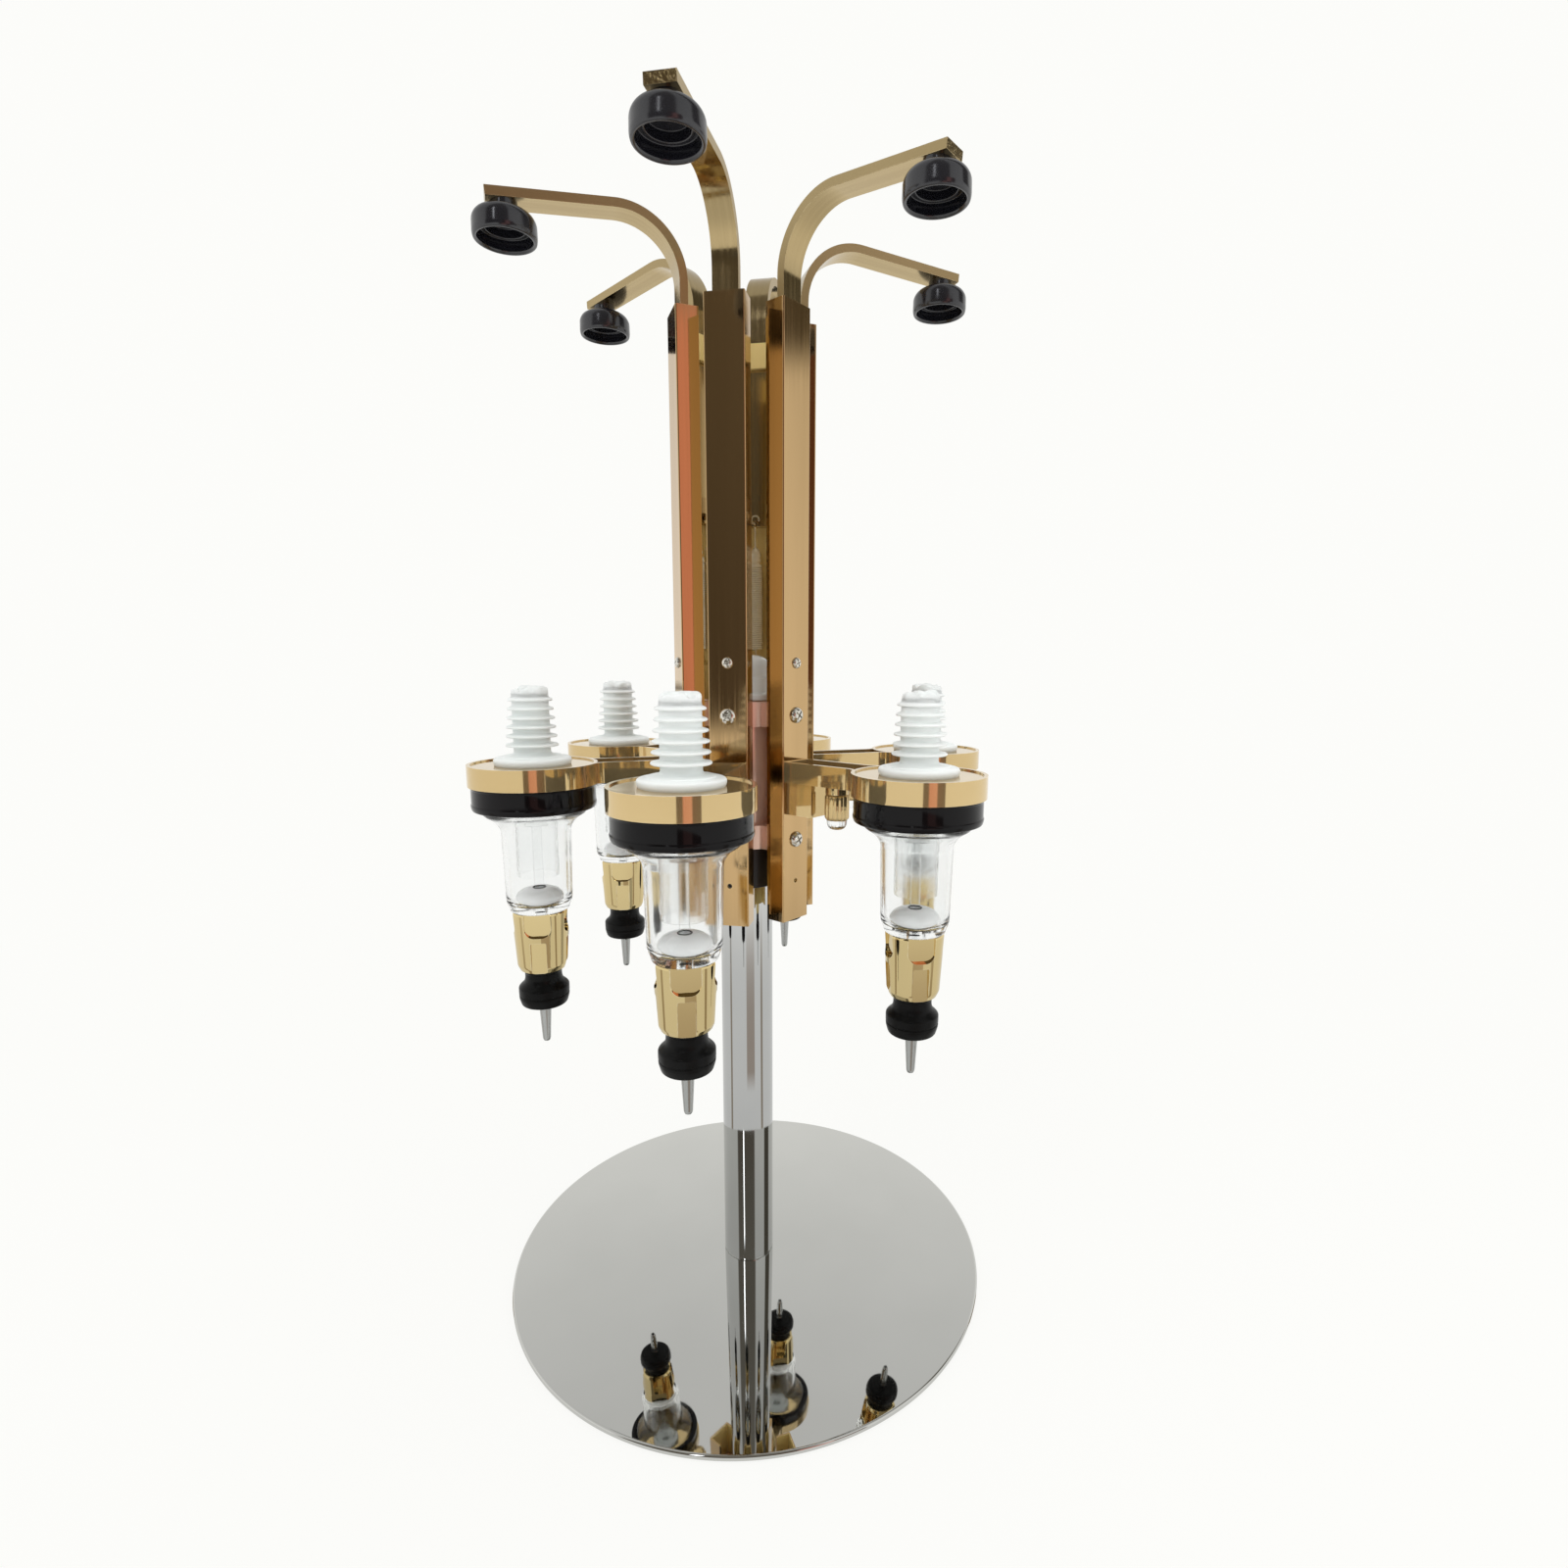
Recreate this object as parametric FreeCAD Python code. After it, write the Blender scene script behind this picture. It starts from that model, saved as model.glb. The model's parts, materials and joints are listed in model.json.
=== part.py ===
"""Rotary drinks dispenser: six sprung bottle arms and six optics around one pole.

Millimetres. The origin is the middle of the base's underside, +Z is up, and
station 1 faces -Y. The others follow clockwise, seen from above, 60 degrees apart.
"""
import FreeCAD, Part
import math
import os

V = FreeCAD.Vector
UP = V(0, 0, 1)
ORIGIN = V(0, 0, 0)

# Stations
STATIONS = 6
FRONT_ANGLE = -90.0                      # degrees from +X to station 1
TURN = -360.0 / STATIONS

# Clearances
RUN_FIT = 0.06                           # radial, rotor on pole
SLIDE_FIT = 0.3                          # radial or per side, on sliding pieces
SEAT_GAP = 0.3                           # between a turning and a standing face
PRESS_GAP = 0.05                         # per side, where a fixed piece drops in

# Base and pole
PAD_T = 0.8
PAD_INSET = 6.0
BASE_D = 300.0
BASE_T = 3.2
BASE_EDGE = 1.1
POLE_D = 32.0
POLE_WALL = 1.5
POLE_TOP = 367.0
POLE_PLUG_H = 18.0
BOLT_D = 10.0
BOLT_HEAD_D = 19.0
BOLT_HEAD_H = 2.6
BOLT_REACH = 14.0

# Pole cap
CAP_FLANGE_D = 38.0
CAP_FLANGE_T = 4.0
CAP_BODY_D = 32.0
CAP_H = 26.0
CAP_DOME_H = 9.0
CAP_DOME_STEP = 2.6
CAP_SPIGOT_H = 12.0

# Thrust collar under the rotor
COLLAR_D = 42.0
COLLAR_H = 24.0

# Rotor hub
HUB_BOTTOM = 280.0
SLEEVE_WALL = 3.0
SPIDER_H = 14.0
SPIDER_WALL = 4.5
LOWER_SCREW_Z = 287.2
UPPER_SCREW_Z = 359.3

# Channels
CHANNEL_FACE = 40.0                      # radius of the outer face
CHANNEL_W = 22.0
CHANNEL_DEPTH = 12.5
CHANNEL_WALL = 1.6
CHANNEL_EDGE = 0.8
CHANNEL_BOTTOM = 239.0
CHANNEL_TOP = 575.5
DRAIN_HOLE_Z = 262.5
DRAIN_HOLE_D = 2.8

# Screws
SCREW_D = 5.0
SCREW_HEAD_D = 9.2
SCREW_HEAD_H = 2.6
ANCHOR_Z = 388.5
ANCHOR_D = 3.0
ANCHOR_HEAD_D = 6.2
ANCHOR_HEAD_H = 1.8
BRACKET_SCREW_D = 4.0
BRACKET_SCREW_HEAD_D = 7.0
BRACKET_SCREW_HEAD_H = 2.4
BRACKET_SCREW_REACH = 9.0
BRACKET_SCREW_PITCH = 9.0

# Bottle arms
ARM_W = 14.0
ARM_T = 4.5
ARM_INNER_FACE = 32.0                    # radius of the bar's face towards the pole
ARM_BEND_Z = 588.0
ARM_BEND_R = 30.0
ARM_DROOP = 5.0                          # degrees below level
ARM_REACH = 132.0
FOOT_BOTTOM = 471.0
FOOT_H = 15.0
EYE_D = 3.4
GUIDE_H = 14.0
GUIDE_BACK = 3.0

# Bottle cups
CUP_AXIS = 123.0
CUP_RIM_Z = 596.0
CUP_D = 31.5
CUP_SHOULDER_Z = 612.0
CUP_SHOULDER = 4.6
CUP_NECK_D = 16.0
CUP_BORE_D = 26.2
CUP_BORE_H = 6.5
CUP_STEP_D = 19.0
CUP_STEP_H = 3.5
CUP_STUD_D = 5.0
CUP_STUD_H = 2.8

# Arm springs, closed at rest
SPRING_AXIS = 28.6
SPRING_D = 9.6
SPRING_TOP = 447.0
SPRING_BOTTOM = 396.5
SPRING_NECK_D = 4.0

# Optics: all six share this axis
OPTIC_AXIS = 122.3
RING_TOP = 333.5
RING_D = 69.5
RING_H = 11.7
RING_WALL = 3.25
RING_PLATE = 2.6
RING_RECESS = 0.8
RING_RIM = 2.0
LOCK_D = 67.0
LOCK_H = 13.4
LOCK_BORE_D = 58.4

# Bracket arm
TROUGH_W = 21.0
TROUGH_WALL = 2.0
TROUGH_FLOOR = 2.2
TROUGH_FILLET = 9.0
BLOCK_REACH = 18.0
BLOCK_W = 16.0
BLOCK_BOTTOM = 303.0
KNOB_AXIS = 70.0
BOSS_D = 13.0
BOSS_DROP = 4.6
BOSS_RISE = 5.0

# Clamp knob
KNOB_D = 13.7
KNOB_BOTTOM = 302.5
KNOB_FLUTES = 12
FLUTE_DEPTH = 0.8
KNOB_TIP_D = 11.6
KNOB_TIP_H = 5.5
TIP_TAPER = 2.0
KNOB_STUD_D = 5.0

# Stopper
STOPPER_TOP = 376.0
STOPPER_CORE_D = 19.6
STOPPER_FINS = 6
FIN_TOP_Z = 368.5
FIN_PITCH = 4.95
FIN_TOP_D = 24.0
FIN_BOTTOM_D = 28.6
FIN_T = 1.6
STOPPER_CHAMFER = 2.6
STOPPER_FLANGE_D = 41.5
STOPPER_FLANGE_H = 4.9
FLANGE_SLOPE = 1.4
STOPPER_BORE_D = 8.0
STOPPER_SPIGOT_D = 25.0
STOPPER_SPIGOT_DROP = 4.0

# Measuring chamber
CHAMBER_NECK_D = 58.0
CHAMBER_LIP_D = 62.0
CHAMBER_LIP_H = 3.0
CHAMBER_WALL = 1.9
CHAMBER_SHOULDER_Z = 306.0
CHAMBER_BODY_D = 38.0
CHAMBER_BODY_Z = 298.0
CHAMBER_FOOT_D = 35.4
CHAMBER_BOTTOM = 250.0
CHAMBER_FOOT_EDGE = 1.5

# Valve sleeve, plunger and spout
SLEEVE_TOP_D = 31.6
SLEEVE_BOTTOM_D = 28.0
SLEEVE_BOTTOM = 215.0
SLEEVE_PLATE = 2.5
PLUNGER_NECK_D = 21.4
PLUNGER_NECK_TOP = 232.0
BELL_D = 28.2
BELL_TOP = 203.5
BELL_BOTTOM = 193.0
BELL_EDGE = 2.4
PUSH = 7.0                               # how far the plunger travels
STEM_D = 5.2
STEM_TOP = 300.0
SEAL_D = 13.0
SEAL_H = 6.0
SPOUT_ROOT_D = 7.3
SPOUT_TIP_D = 4.4
SPOUT_TIP_Z = 169.7
SPOUT_BORE_D = 2.6
SPOUT_SEAT_H = 6.0

# Sizes that follow from the ones above
BASE_TOP = PAD_T + BASE_T
POLE_R = POLE_D / 2
HUB_TOP = POLE_TOP - SEAT_GAP
HUB_R = POLE_R + RUN_FIT + SLEEVE_WALL
WEB_INNER = CHANNEL_FACE - CHANNEL_WALL
CHANNEL_BACK = CHANNEL_FACE - CHANNEL_DEPTH
CHANNEL_INNER_W = CHANNEL_W - 2 * CHANNEL_WALL
RING_BOTTOM = RING_TOP - RING_H
SEAT_Z = RING_TOP - RING_RECESS
LOCK_BOTTOM = RING_BOTTOM - LOCK_H
BLOCK_MID = (BLOCK_BOTTOM + RING_BOTTOM) / 2
BRACKET_SCREW_HEIGHTS = [BLOCK_MID + side * BRACKET_SCREW_PITCH / 2 for side in (-1, 1)]
FOOT_W = CHANNEL_INNER_W - 2 * SLIDE_FIT
GUIDE_TOP = CHANNEL_TOP - 1.0
BEND_CENTRE = V(ARM_INNER_FACE + ARM_T + ARM_BEND_R, 0, ARM_BEND_Z)


def turned(corners, axis=0.0):
    """Solid of revolution from (radius, z) corners, about a vertical at x = axis."""
    points = [V(radius, 0, z) for radius, z in corners]
    solid = Part.Face(Part.makePolygon(points + points[:1])).revolve(ORIGIN, UP, 360)
    solid.translate(V(axis, 0, 0))
    return solid


def cylinder(diameter, bottom, top, x=0.0):
    return Part.makeCylinder(diameter / 2, top - bottom, V(x, 0, bottom), UP)


def rod_along_x(diameter, x_start, x_end, z):
    return Part.makeCylinder(diameter / 2, x_end - x_start, V(x_start, 0, z), V(1, 0, 0))


def block(x_start, x_end, width, z_bottom, z_top):
    """Box with its width centred on y = 0."""
    corner = V(x_start, -width / 2, z_bottom)
    return Part.makeBox(x_end - x_start, width, z_top - z_bottom, corner)


def at_station(shape, number):
    """Copy of a piece modelled on +X, turned to station 1, 2 and so on."""
    copy = shape.copy()
    copy.rotate(ORIGIN, UP, FRONT_ANGLE + TURN * (number - 1))
    return copy


def at_every_station(shape):
    numbers = range(1, STATIONS + 1)
    return Part.makeCompound([at_station(shape, number) for number in numbers])


def make_foot_pad():
    pad = cylinder(BASE_D - 2 * PAD_INSET, 0, PAD_T)
    return pad.cut(cylinder(BOLT_HEAD_D + 3, 0, PAD_T))


def make_base_plate():
    radius = BASE_D / 2
    edge = BASE_EDGE
    plate = turned([(0, PAD_T), (radius - edge, PAD_T), (radius, PAD_T + edge),
                    (radius, BASE_TOP - edge), (radius - edge, BASE_TOP), (0, BASE_TOP)])
    return plate.cut(bolt_body(0.0))


def bolt_body(shorter):
    """Countersunk bolt from the plate's underside up into the pole's plug."""
    head = Part.makeCone(BOLT_HEAD_D / 2, BOLT_D / 2, BOLT_HEAD_H, V(0, 0, PAD_T), UP)
    shank = cylinder(BOLT_D, PAD_T, PAD_T + BOLT_REACH - shorter)
    return head.fuse(shank).removeSplitter()


def make_base_bolt():
    return bolt_body(1.0)


def make_pole():
    bore = cylinder(POLE_D - 2 * POLE_WALL, BASE_TOP + POLE_PLUG_H, POLE_TOP)
    return cylinder(POLE_D, BASE_TOP, POLE_TOP).cut(bore).cut(bolt_body(0.0))


def make_thrust_collar():
    top = HUB_BOTTOM - SEAT_GAP
    bottom = top - COLLAR_H
    return cylinder(COLLAR_D, bottom, top).cut(cylinder(POLE_D, bottom, top))


def make_pole_cap():
    spigot = POLE_R - POLE_WALL
    flange = CAP_FLANGE_D / 2
    body = CAP_BODY_D / 2
    top = POLE_TOP + CAP_H
    return turned([(0, POLE_TOP - CAP_SPIGOT_H), (spigot, POLE_TOP - CAP_SPIGOT_H),
                   (spigot, POLE_TOP), (flange, POLE_TOP),
                   (flange, POLE_TOP + CAP_FLANGE_T), (body, POLE_TOP + CAP_FLANGE_T),
                   (body, top - CAP_DOME_H), (body - CAP_DOME_STEP, top - CAP_DOME_H / 3),
                   (body - CAP_DOME_H, top), (0, top)])


def make_hub_sleeve():
    tube = cylinder(2 * HUB_R, HUB_BOTTOM, HUB_TOP)
    return tube.cut(cylinder(POLE_D + 2 * RUN_FIT, HUB_BOTTOM, HUB_TOP))


def make_spider(screw_z):
    """Ring pressed on the hub sleeve, with a lug reaching into each channel."""
    bottom = screw_z - SPIDER_H / 2
    top = screw_z + SPIDER_H / 2
    spider = cylinder(2 * (HUB_R + SPIDER_WALL), bottom, top)
    lug = block(HUB_R + SPIDER_WALL / 2, WEB_INNER, CHANNEL_INNER_W - 2 * PRESS_GAP, bottom, top)
    for number in range(1, STATIONS + 1):
        spider = spider.fuse(at_station(lug, number))
    spider = spider.cut(cylinder(2 * HUB_R, bottom, top))
    for number in range(1, STATIONS + 1):
        hole = rod_along_x(SCREW_D, HUB_R + SPIDER_WALL, WEB_INNER, screw_z)
        spider = spider.cut(at_station(hole, number))
    return spider.removeSplitter()


def make_hub_spiders():
    return Part.makeCompound([make_spider(LOWER_SCREW_Z), make_spider(UPPER_SCREW_Z)])


def make_channel():
    """Folded U channel, open towards the pole, with its row of holes."""
    outer = block(CHANNEL_BACK, CHANNEL_FACE, CHANNEL_W, CHANNEL_BOTTOM, CHANNEL_TOP)
    corners = [edge for edge in outer.Edges
               if edge.BoundBox.XMin > CHANNEL_FACE - 1e-3 and edge.BoundBox.ZLength > 1]
    outer = outer.makeFillet(CHANNEL_EDGE, corners)
    inside = block(CHANNEL_BACK - 1, WEB_INNER, CHANNEL_INNER_W, CHANNEL_BOTTOM, CHANNEL_TOP)
    channel = outer.cut(inside)
    holes = [(LOWER_SCREW_Z, SCREW_D), (UPPER_SCREW_Z, SCREW_D), (ANCHOR_Z, ANCHOR_D),
             (DRAIN_HOLE_Z, DRAIN_HOLE_D)]
    holes += [(z, BRACKET_SCREW_D) for z in BRACKET_SCREW_HEIGHTS]
    for z, diameter in holes:
        channel = channel.cut(rod_along_x(diameter, WEB_INNER - 1, CHANNEL_FACE + 1, z))
    return channel


def screw_along_x(diameter, head_d, head_h, face_x, length):
    """Pan-head screw whose head sits on the outer face at face_x."""
    head = rod_along_x(head_d, face_x, face_x + head_h, 0)
    return head.fuse(rod_along_x(diameter, face_x - length, face_x, 0)).removeSplitter()


def make_channel_screws():
    length = CHANNEL_WALL + WEB_INNER - HUB_R - SPIDER_WALL
    screw = screw_along_x(SCREW_D, SCREW_HEAD_D, SCREW_HEAD_H, CHANNEL_FACE, length)
    lower = screw.translated(V(0, 0, LOWER_SCREW_Z))
    upper = screw.translated(V(0, 0, UPPER_SCREW_Z))
    return at_every_station(Part.makeCompound([lower, upper]))


def make_spring_anchors():
    length = CHANNEL_FACE - SPRING_AXIS + SPRING_NECK_D / 2
    screw = screw_along_x(ANCHOR_D, ANCHOR_HEAD_D, ANCHOR_HEAD_H, CHANNEL_FACE, length)
    return at_every_station(screw.translated(V(0, 0, ANCHOR_Z)))


def make_bracket_screws():
    """Two screws per bracket, put in from inside the channel."""
    head_start = WEB_INNER - BRACKET_SCREW_HEAD_H
    head = rod_along_x(BRACKET_SCREW_HEAD_D, head_start, WEB_INNER, 0)
    shank = rod_along_x(BRACKET_SCREW_D, head_start, CHANNEL_FACE + BRACKET_SCREW_REACH, 0)
    screw = head.fuse(shank).removeSplitter()
    pair = [screw.translated(V(0, 0, z)) for z in BRACKET_SCREW_HEIGHTS]
    return at_every_station(Part.makeCompound(pair))


def make_arm_guides():
    """Slotted blocks in the channel tops that the arms slide through."""
    bottom = GUIDE_TOP - GUIDE_H
    width = CHANNEL_INNER_W - 2 * PRESS_GAP
    guide = block(ARM_INNER_FACE - SLIDE_FIT - GUIDE_BACK, WEB_INNER, width, bottom, GUIDE_TOP)
    slot = block(ARM_INNER_FACE - SLIDE_FIT, ARM_INNER_FACE + ARM_T + SLIDE_FIT,
                 ARM_W + 2 * SLIDE_FIT, bottom, GUIDE_TOP)
    return at_every_station(guide.cut(slot))


def arm_point(radius, angle):
    turn = math.radians(angle)
    return BEND_CENTRE + V(radius * math.cos(turn), 0, radius * math.sin(turn))


def make_arm():
    """Flat bar bent outwards over the bottle, with the foot that slides in the channel."""
    inner = ARM_BEND_R
    outer = ARM_BEND_R + ARM_T
    last = 90 - ARM_DROOP
    middle = (180 + last) / 2
    droop = math.tan(math.radians(ARM_DROOP))
    outer_end = arm_point(outer, last)
    tip_top = V(ARM_REACH, 0, outer_end.z - (ARM_REACH - outer_end.x) * droop)
    inner_end = arm_point(inner, last)
    tip_x = ARM_REACH - ARM_T * droop
    tip_low = V(tip_x, 0, inner_end.z - (tip_x - inner_end.x) * droop)
    foot_low_out = V(ARM_INNER_FACE, 0, FOOT_BOTTOM)
    foot_low_in = V(ARM_INNER_FACE + ARM_T, 0, FOOT_BOTTOM)
    edges = [
        Part.LineSegment(foot_low_out, arm_point(outer, 180)).toShape(),
        Part.Arc(arm_point(outer, 180), arm_point(outer, middle), outer_end).toShape(),
        Part.LineSegment(outer_end, tip_top).toShape(),
        Part.LineSegment(tip_top, tip_low).toShape(),
        Part.LineSegment(tip_low, inner_end).toShape(),
        Part.Arc(inner_end, arm_point(inner, middle), arm_point(inner, 180)).toShape(),
        Part.LineSegment(arm_point(inner, 180), foot_low_in).toShape(),
        Part.LineSegment(foot_low_in, foot_low_out).toShape(),
    ]
    profile = Part.Face(Part.Wire(edges))
    profile.translate(V(0, -ARM_W / 2, 0))
    bar = profile.extrude(V(0, ARM_W, 0))
    foot = block(ARM_INNER_FACE - 1, WEB_INNER - SLIDE_FIT, FOOT_W, FOOT_BOTTOM,
                 FOOT_BOTTOM + FOOT_H)
    peg_z = FOOT_BOTTOM + EYE_D
    peg = rod_along_x(ANCHOR_D, SPRING_AXIS - SPRING_NECK_D / 2, ARM_INNER_FACE, peg_z)
    return bar.fuse(foot).fuse(peg).cut(cup_stud(SLIDE_FIT / 3)).removeSplitter()


def cup_stud(grow):
    top = cup_seat_z() + CUP_STUD_H + grow
    return cylinder(CUP_STUD_D + 2 * grow, CUP_SHOULDER_Z, top, CUP_AXIS)


def cup_seat_z():
    """Height of the arm's underside on the cup's axis."""
    end = arm_point(ARM_BEND_R, 90 - ARM_DROOP)
    return end.z - (CUP_AXIS - end.x) * math.tan(math.radians(ARM_DROOP))


def make_cup(arm):
    """Bell that holds the upturned bottle's base, hung under the arm's end."""
    step_z = CUP_RIM_Z + CUP_BORE_H
    roof_z = step_z + CUP_STEP_H
    neck_top = cup_seat_z() + CUP_STUD_H
    cup = turned([(0, roof_z), (CUP_STEP_D / 2, roof_z), (CUP_STEP_D / 2, step_z),
                  (CUP_BORE_D / 2, step_z), (CUP_BORE_D / 2, CUP_RIM_Z),
                  (CUP_D / 2, CUP_RIM_Z), (CUP_D / 2, CUP_SHOULDER_Z - CUP_SHOULDER),
                  (CUP_NECK_D / 2, CUP_SHOULDER_Z), (CUP_NECK_D / 2, neck_top),
                  (0, neck_top)], CUP_AXIS)
    droop_cut = block(CUP_AXIS - CUP_D, CUP_AXIS + CUP_D, CUP_D, cup_seat_z(), neck_top + CUP_D)
    droop_cut.rotate(V(CUP_AXIS, 0, cup_seat_z()), V(0, 1, 0), ARM_DROOP)
    cup = cup.cut(droop_cut)
    return cup.fuse(cup_stud(0)).removeSplitter().cut(arm)


def make_spring():
    """Closed extension spring, drawn as its envelope from anchor to foot peg."""
    neck = SPRING_NECK_D / 2
    body = SPRING_D / 2
    low = ANCHOR_Z + ANCHOR_D / 2 + SEAT_GAP
    high = FOOT_BOTTOM + EYE_D - ANCHOR_D / 2 - SEAT_GAP
    taper = body - neck
    return turned([(0, low), (neck, low), (neck, SPRING_BOTTOM), (body, SPRING_BOTTOM),
                   (body, SPRING_TOP), (neck, SPRING_TOP + 2 * taper), (neck, high),
                   (0, high)], SPRING_AXIS)


def bracket_outline():
    """Plan of the trough and the ring, rounded together where they meet."""
    arm = block(CHANNEL_FACE, OPTIC_AXIS, TROUGH_W, RING_BOTTOM, RING_TOP)
    outline = arm.fuse(cylinder(RING_D, RING_BOTTOM, RING_TOP, OPTIC_AXIS)).removeSplitter()
    corners = [edge for edge in outline.Edges
               if edge.BoundBox.ZLength > 1 and edge.BoundBox.XLength < 1e-3
               and CHANNEL_FACE + 1 < edge.BoundBox.XMin < OPTIC_AXIS]
    return outline.makeFillet(TROUGH_FILLET, corners)


def make_bracket():
    """Cast trough from the channel to the ring that carries one optic."""
    outline = bracket_outline()
    floor_face = min(outline.Faces, key=lambda face: face.CenterOfMass.z)
    pocket_plan = Part.Face(floor_face.OuterWire).makeOffset2D(-TROUGH_WALL)
    pocket_plan.translate(V(0, 0, TROUGH_FLOOR))
    pocket = pocket_plan.extrude(V(0, 0, RING_H))
    pocket = pocket.cut(cylinder(RING_D, RING_BOTTOM, RING_TOP + RING_H, OPTIC_AXIS))
    bracket = outline.cut(pocket)
    bracket = bracket.fuse(block(CHANNEL_FACE, CHANNEL_FACE + BLOCK_REACH, BLOCK_W,
                                 BLOCK_BOTTOM, RING_BOTTOM + TROUGH_FLOOR / 2))
    boss_top = RING_BOTTOM + TROUGH_FLOOR + BOSS_RISE
    bracket = bracket.fuse(cylinder(BOSS_D, RING_BOTTOM - BOSS_DROP, boss_top, KNOB_AXIS))
    plate_bottom = SEAT_Z - RING_PLATE
    cuts = [
        cylinder(RING_D - 2 * RING_WALL, RING_BOTTOM, plate_bottom, OPTIC_AXIS),
        cylinder(RING_D - 2 * RING_RIM, SEAT_Z, RING_TOP, OPTIC_AXIS),
        cylinder(STOPPER_SPIGOT_D + 2 * PRESS_GAP, plate_bottom, RING_TOP, OPTIC_AXIS),
        cylinder(KNOB_STUD_D + 2 * RUN_FIT, RING_BOTTOM - BOSS_DROP, boss_top, KNOB_AXIS),
    ]
    for cut in cuts:
        bracket = bracket.cut(cut)
    for z in BRACKET_SCREW_HEIGHTS:
        reach = CHANNEL_FACE + BRACKET_SCREW_REACH
        bracket = bracket.cut(rod_along_x(BRACKET_SCREW_D, CHANNEL_FACE, reach, z))
    return bracket.removeSplitter()


def make_lock_ring():
    """Black ring that holds the chamber's lip up in the bracket's ring."""
    outer = LOCK_D / 2
    bore = LOCK_BORE_D / 2
    return turned([(bore, LOCK_BOTTOM), (outer, LOCK_BOTTOM), (outer, RING_BOTTOM),
                   (bore, RING_BOTTOM)], OPTIC_AXIS)


def make_stopper():
    """Finned silicone stopper with its flange and the spigot into the ring."""
    core = STOPPER_CORE_D / 2
    bore = STOPPER_BORE_D / 2
    flange_top = SEAT_Z + STOPPER_FLANGE_H
    corners = [(bore, STOPPER_TOP), (core - STOPPER_CHAMFER, STOPPER_TOP),
               (core, STOPPER_TOP - STOPPER_CHAMFER)]
    for fin in range(STOPPER_FINS):
        z = FIN_TOP_Z - fin * FIN_PITCH
        share = fin / (STOPPER_FINS - 1)
        tip = (FIN_TOP_D + share * (FIN_BOTTOM_D - FIN_TOP_D)) / 2
        corners += [(core, z + FIN_T), (tip, z), (core, z)]
    spigot_bottom = SEAT_Z - RING_PLATE - STOPPER_SPIGOT_DROP
    corners += [(core, flange_top), (STOPPER_FLANGE_D / 2, flange_top - FLANGE_SLOPE),
                (STOPPER_FLANGE_D / 2, SEAT_Z), (STOPPER_SPIGOT_D / 2, SEAT_Z),
                (STOPPER_SPIGOT_D / 2, spigot_bottom), (bore, spigot_bottom)]
    return turned(corners, OPTIC_AXIS)


def make_chamber():
    """Clear measuring chamber, thin walled, open at the top."""
    neck = CHAMBER_NECK_D / 2
    lip = CHAMBER_LIP_D / 2
    body = CHAMBER_BODY_D / 2
    foot = CHAMBER_FOOT_D / 2
    wall = CHAMBER_WALL
    lip_top = RING_BOTTOM + CHAMBER_LIP_H
    inner_floor = CHAMBER_BOTTOM + wall
    stem = STEM_D / 2 + SLIDE_FIT
    return turned([
        (stem, CHAMBER_BOTTOM), (foot - CHAMBER_FOOT_EDGE, CHAMBER_BOTTOM),
        (foot, CHAMBER_BOTTOM + CHAMBER_FOOT_EDGE), (body, CHAMBER_BODY_Z),
        (neck, CHAMBER_SHOULDER_Z), (neck, RING_BOTTOM), (lip, RING_BOTTOM), (lip, lip_top),
        (neck - wall, lip_top), (neck - wall, CHAMBER_SHOULDER_Z + wall),
        (foot - wall, CHAMBER_BODY_Z), (foot - wall, inner_floor),
        (stem, inner_floor)], OPTIC_AXIS)


def make_valve_sleeve():
    """Tapered gold sleeve under the chamber, with the plunger's bore."""
    bore = PLUNGER_NECK_D / 2 + SLIDE_FIT
    stem = STEM_D / 2 + SLIDE_FIT
    plate = CHAMBER_BOTTOM - SLEEVE_PLATE
    return turned([(bore, SLEEVE_BOTTOM), (SLEEVE_BOTTOM_D / 2, SLEEVE_BOTTOM),
                   (SLEEVE_TOP_D / 2, CHAMBER_BOTTOM), (stem, CHAMBER_BOTTOM), (stem, plate),
                   (bore, plate)], OPTIC_AXIS)


def make_plunger():
    """Push-up plunger: the bell outside, its neck in the sleeve, and the valve stem."""
    neck = PLUNGER_NECK_D / 2
    bell = BELL_D / 2
    stem = STEM_D / 2
    seat = SPOUT_ROOT_D / 2
    seat_top = BELL_BOTTOM + SPOUT_SEAT_H
    shoulder_top = SLEEVE_BOTTOM - PUSH - SEAT_GAP
    return turned([
        (0, seat_top), (seat, seat_top), (seat, BELL_BOTTOM),
        (bell - BELL_EDGE, BELL_BOTTOM), (bell, BELL_BOTTOM + BELL_EDGE), (bell, BELL_TOP),
        (neck, shoulder_top), (neck, PLUNGER_NECK_TOP),
        (stem, PLUNGER_NECK_TOP), (stem, STEM_TOP), (SEAL_D / 2, STEM_TOP),
        (SEAL_D / 2, STEM_TOP + SEAL_H), (0, STEM_TOP + SEAL_H)], OPTIC_AXIS)


def make_spout():
    bore = SPOUT_BORE_D / 2
    top = BELL_BOTTOM + SPOUT_SEAT_H
    return turned([(bore, SPOUT_TIP_Z), (SPOUT_TIP_D / 2, SPOUT_TIP_Z),
                   (SPOUT_ROOT_D / 2, BELL_BOTTOM), (SPOUT_ROOT_D / 2, top), (bore, top)],
                  OPTIC_AXIS)


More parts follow.
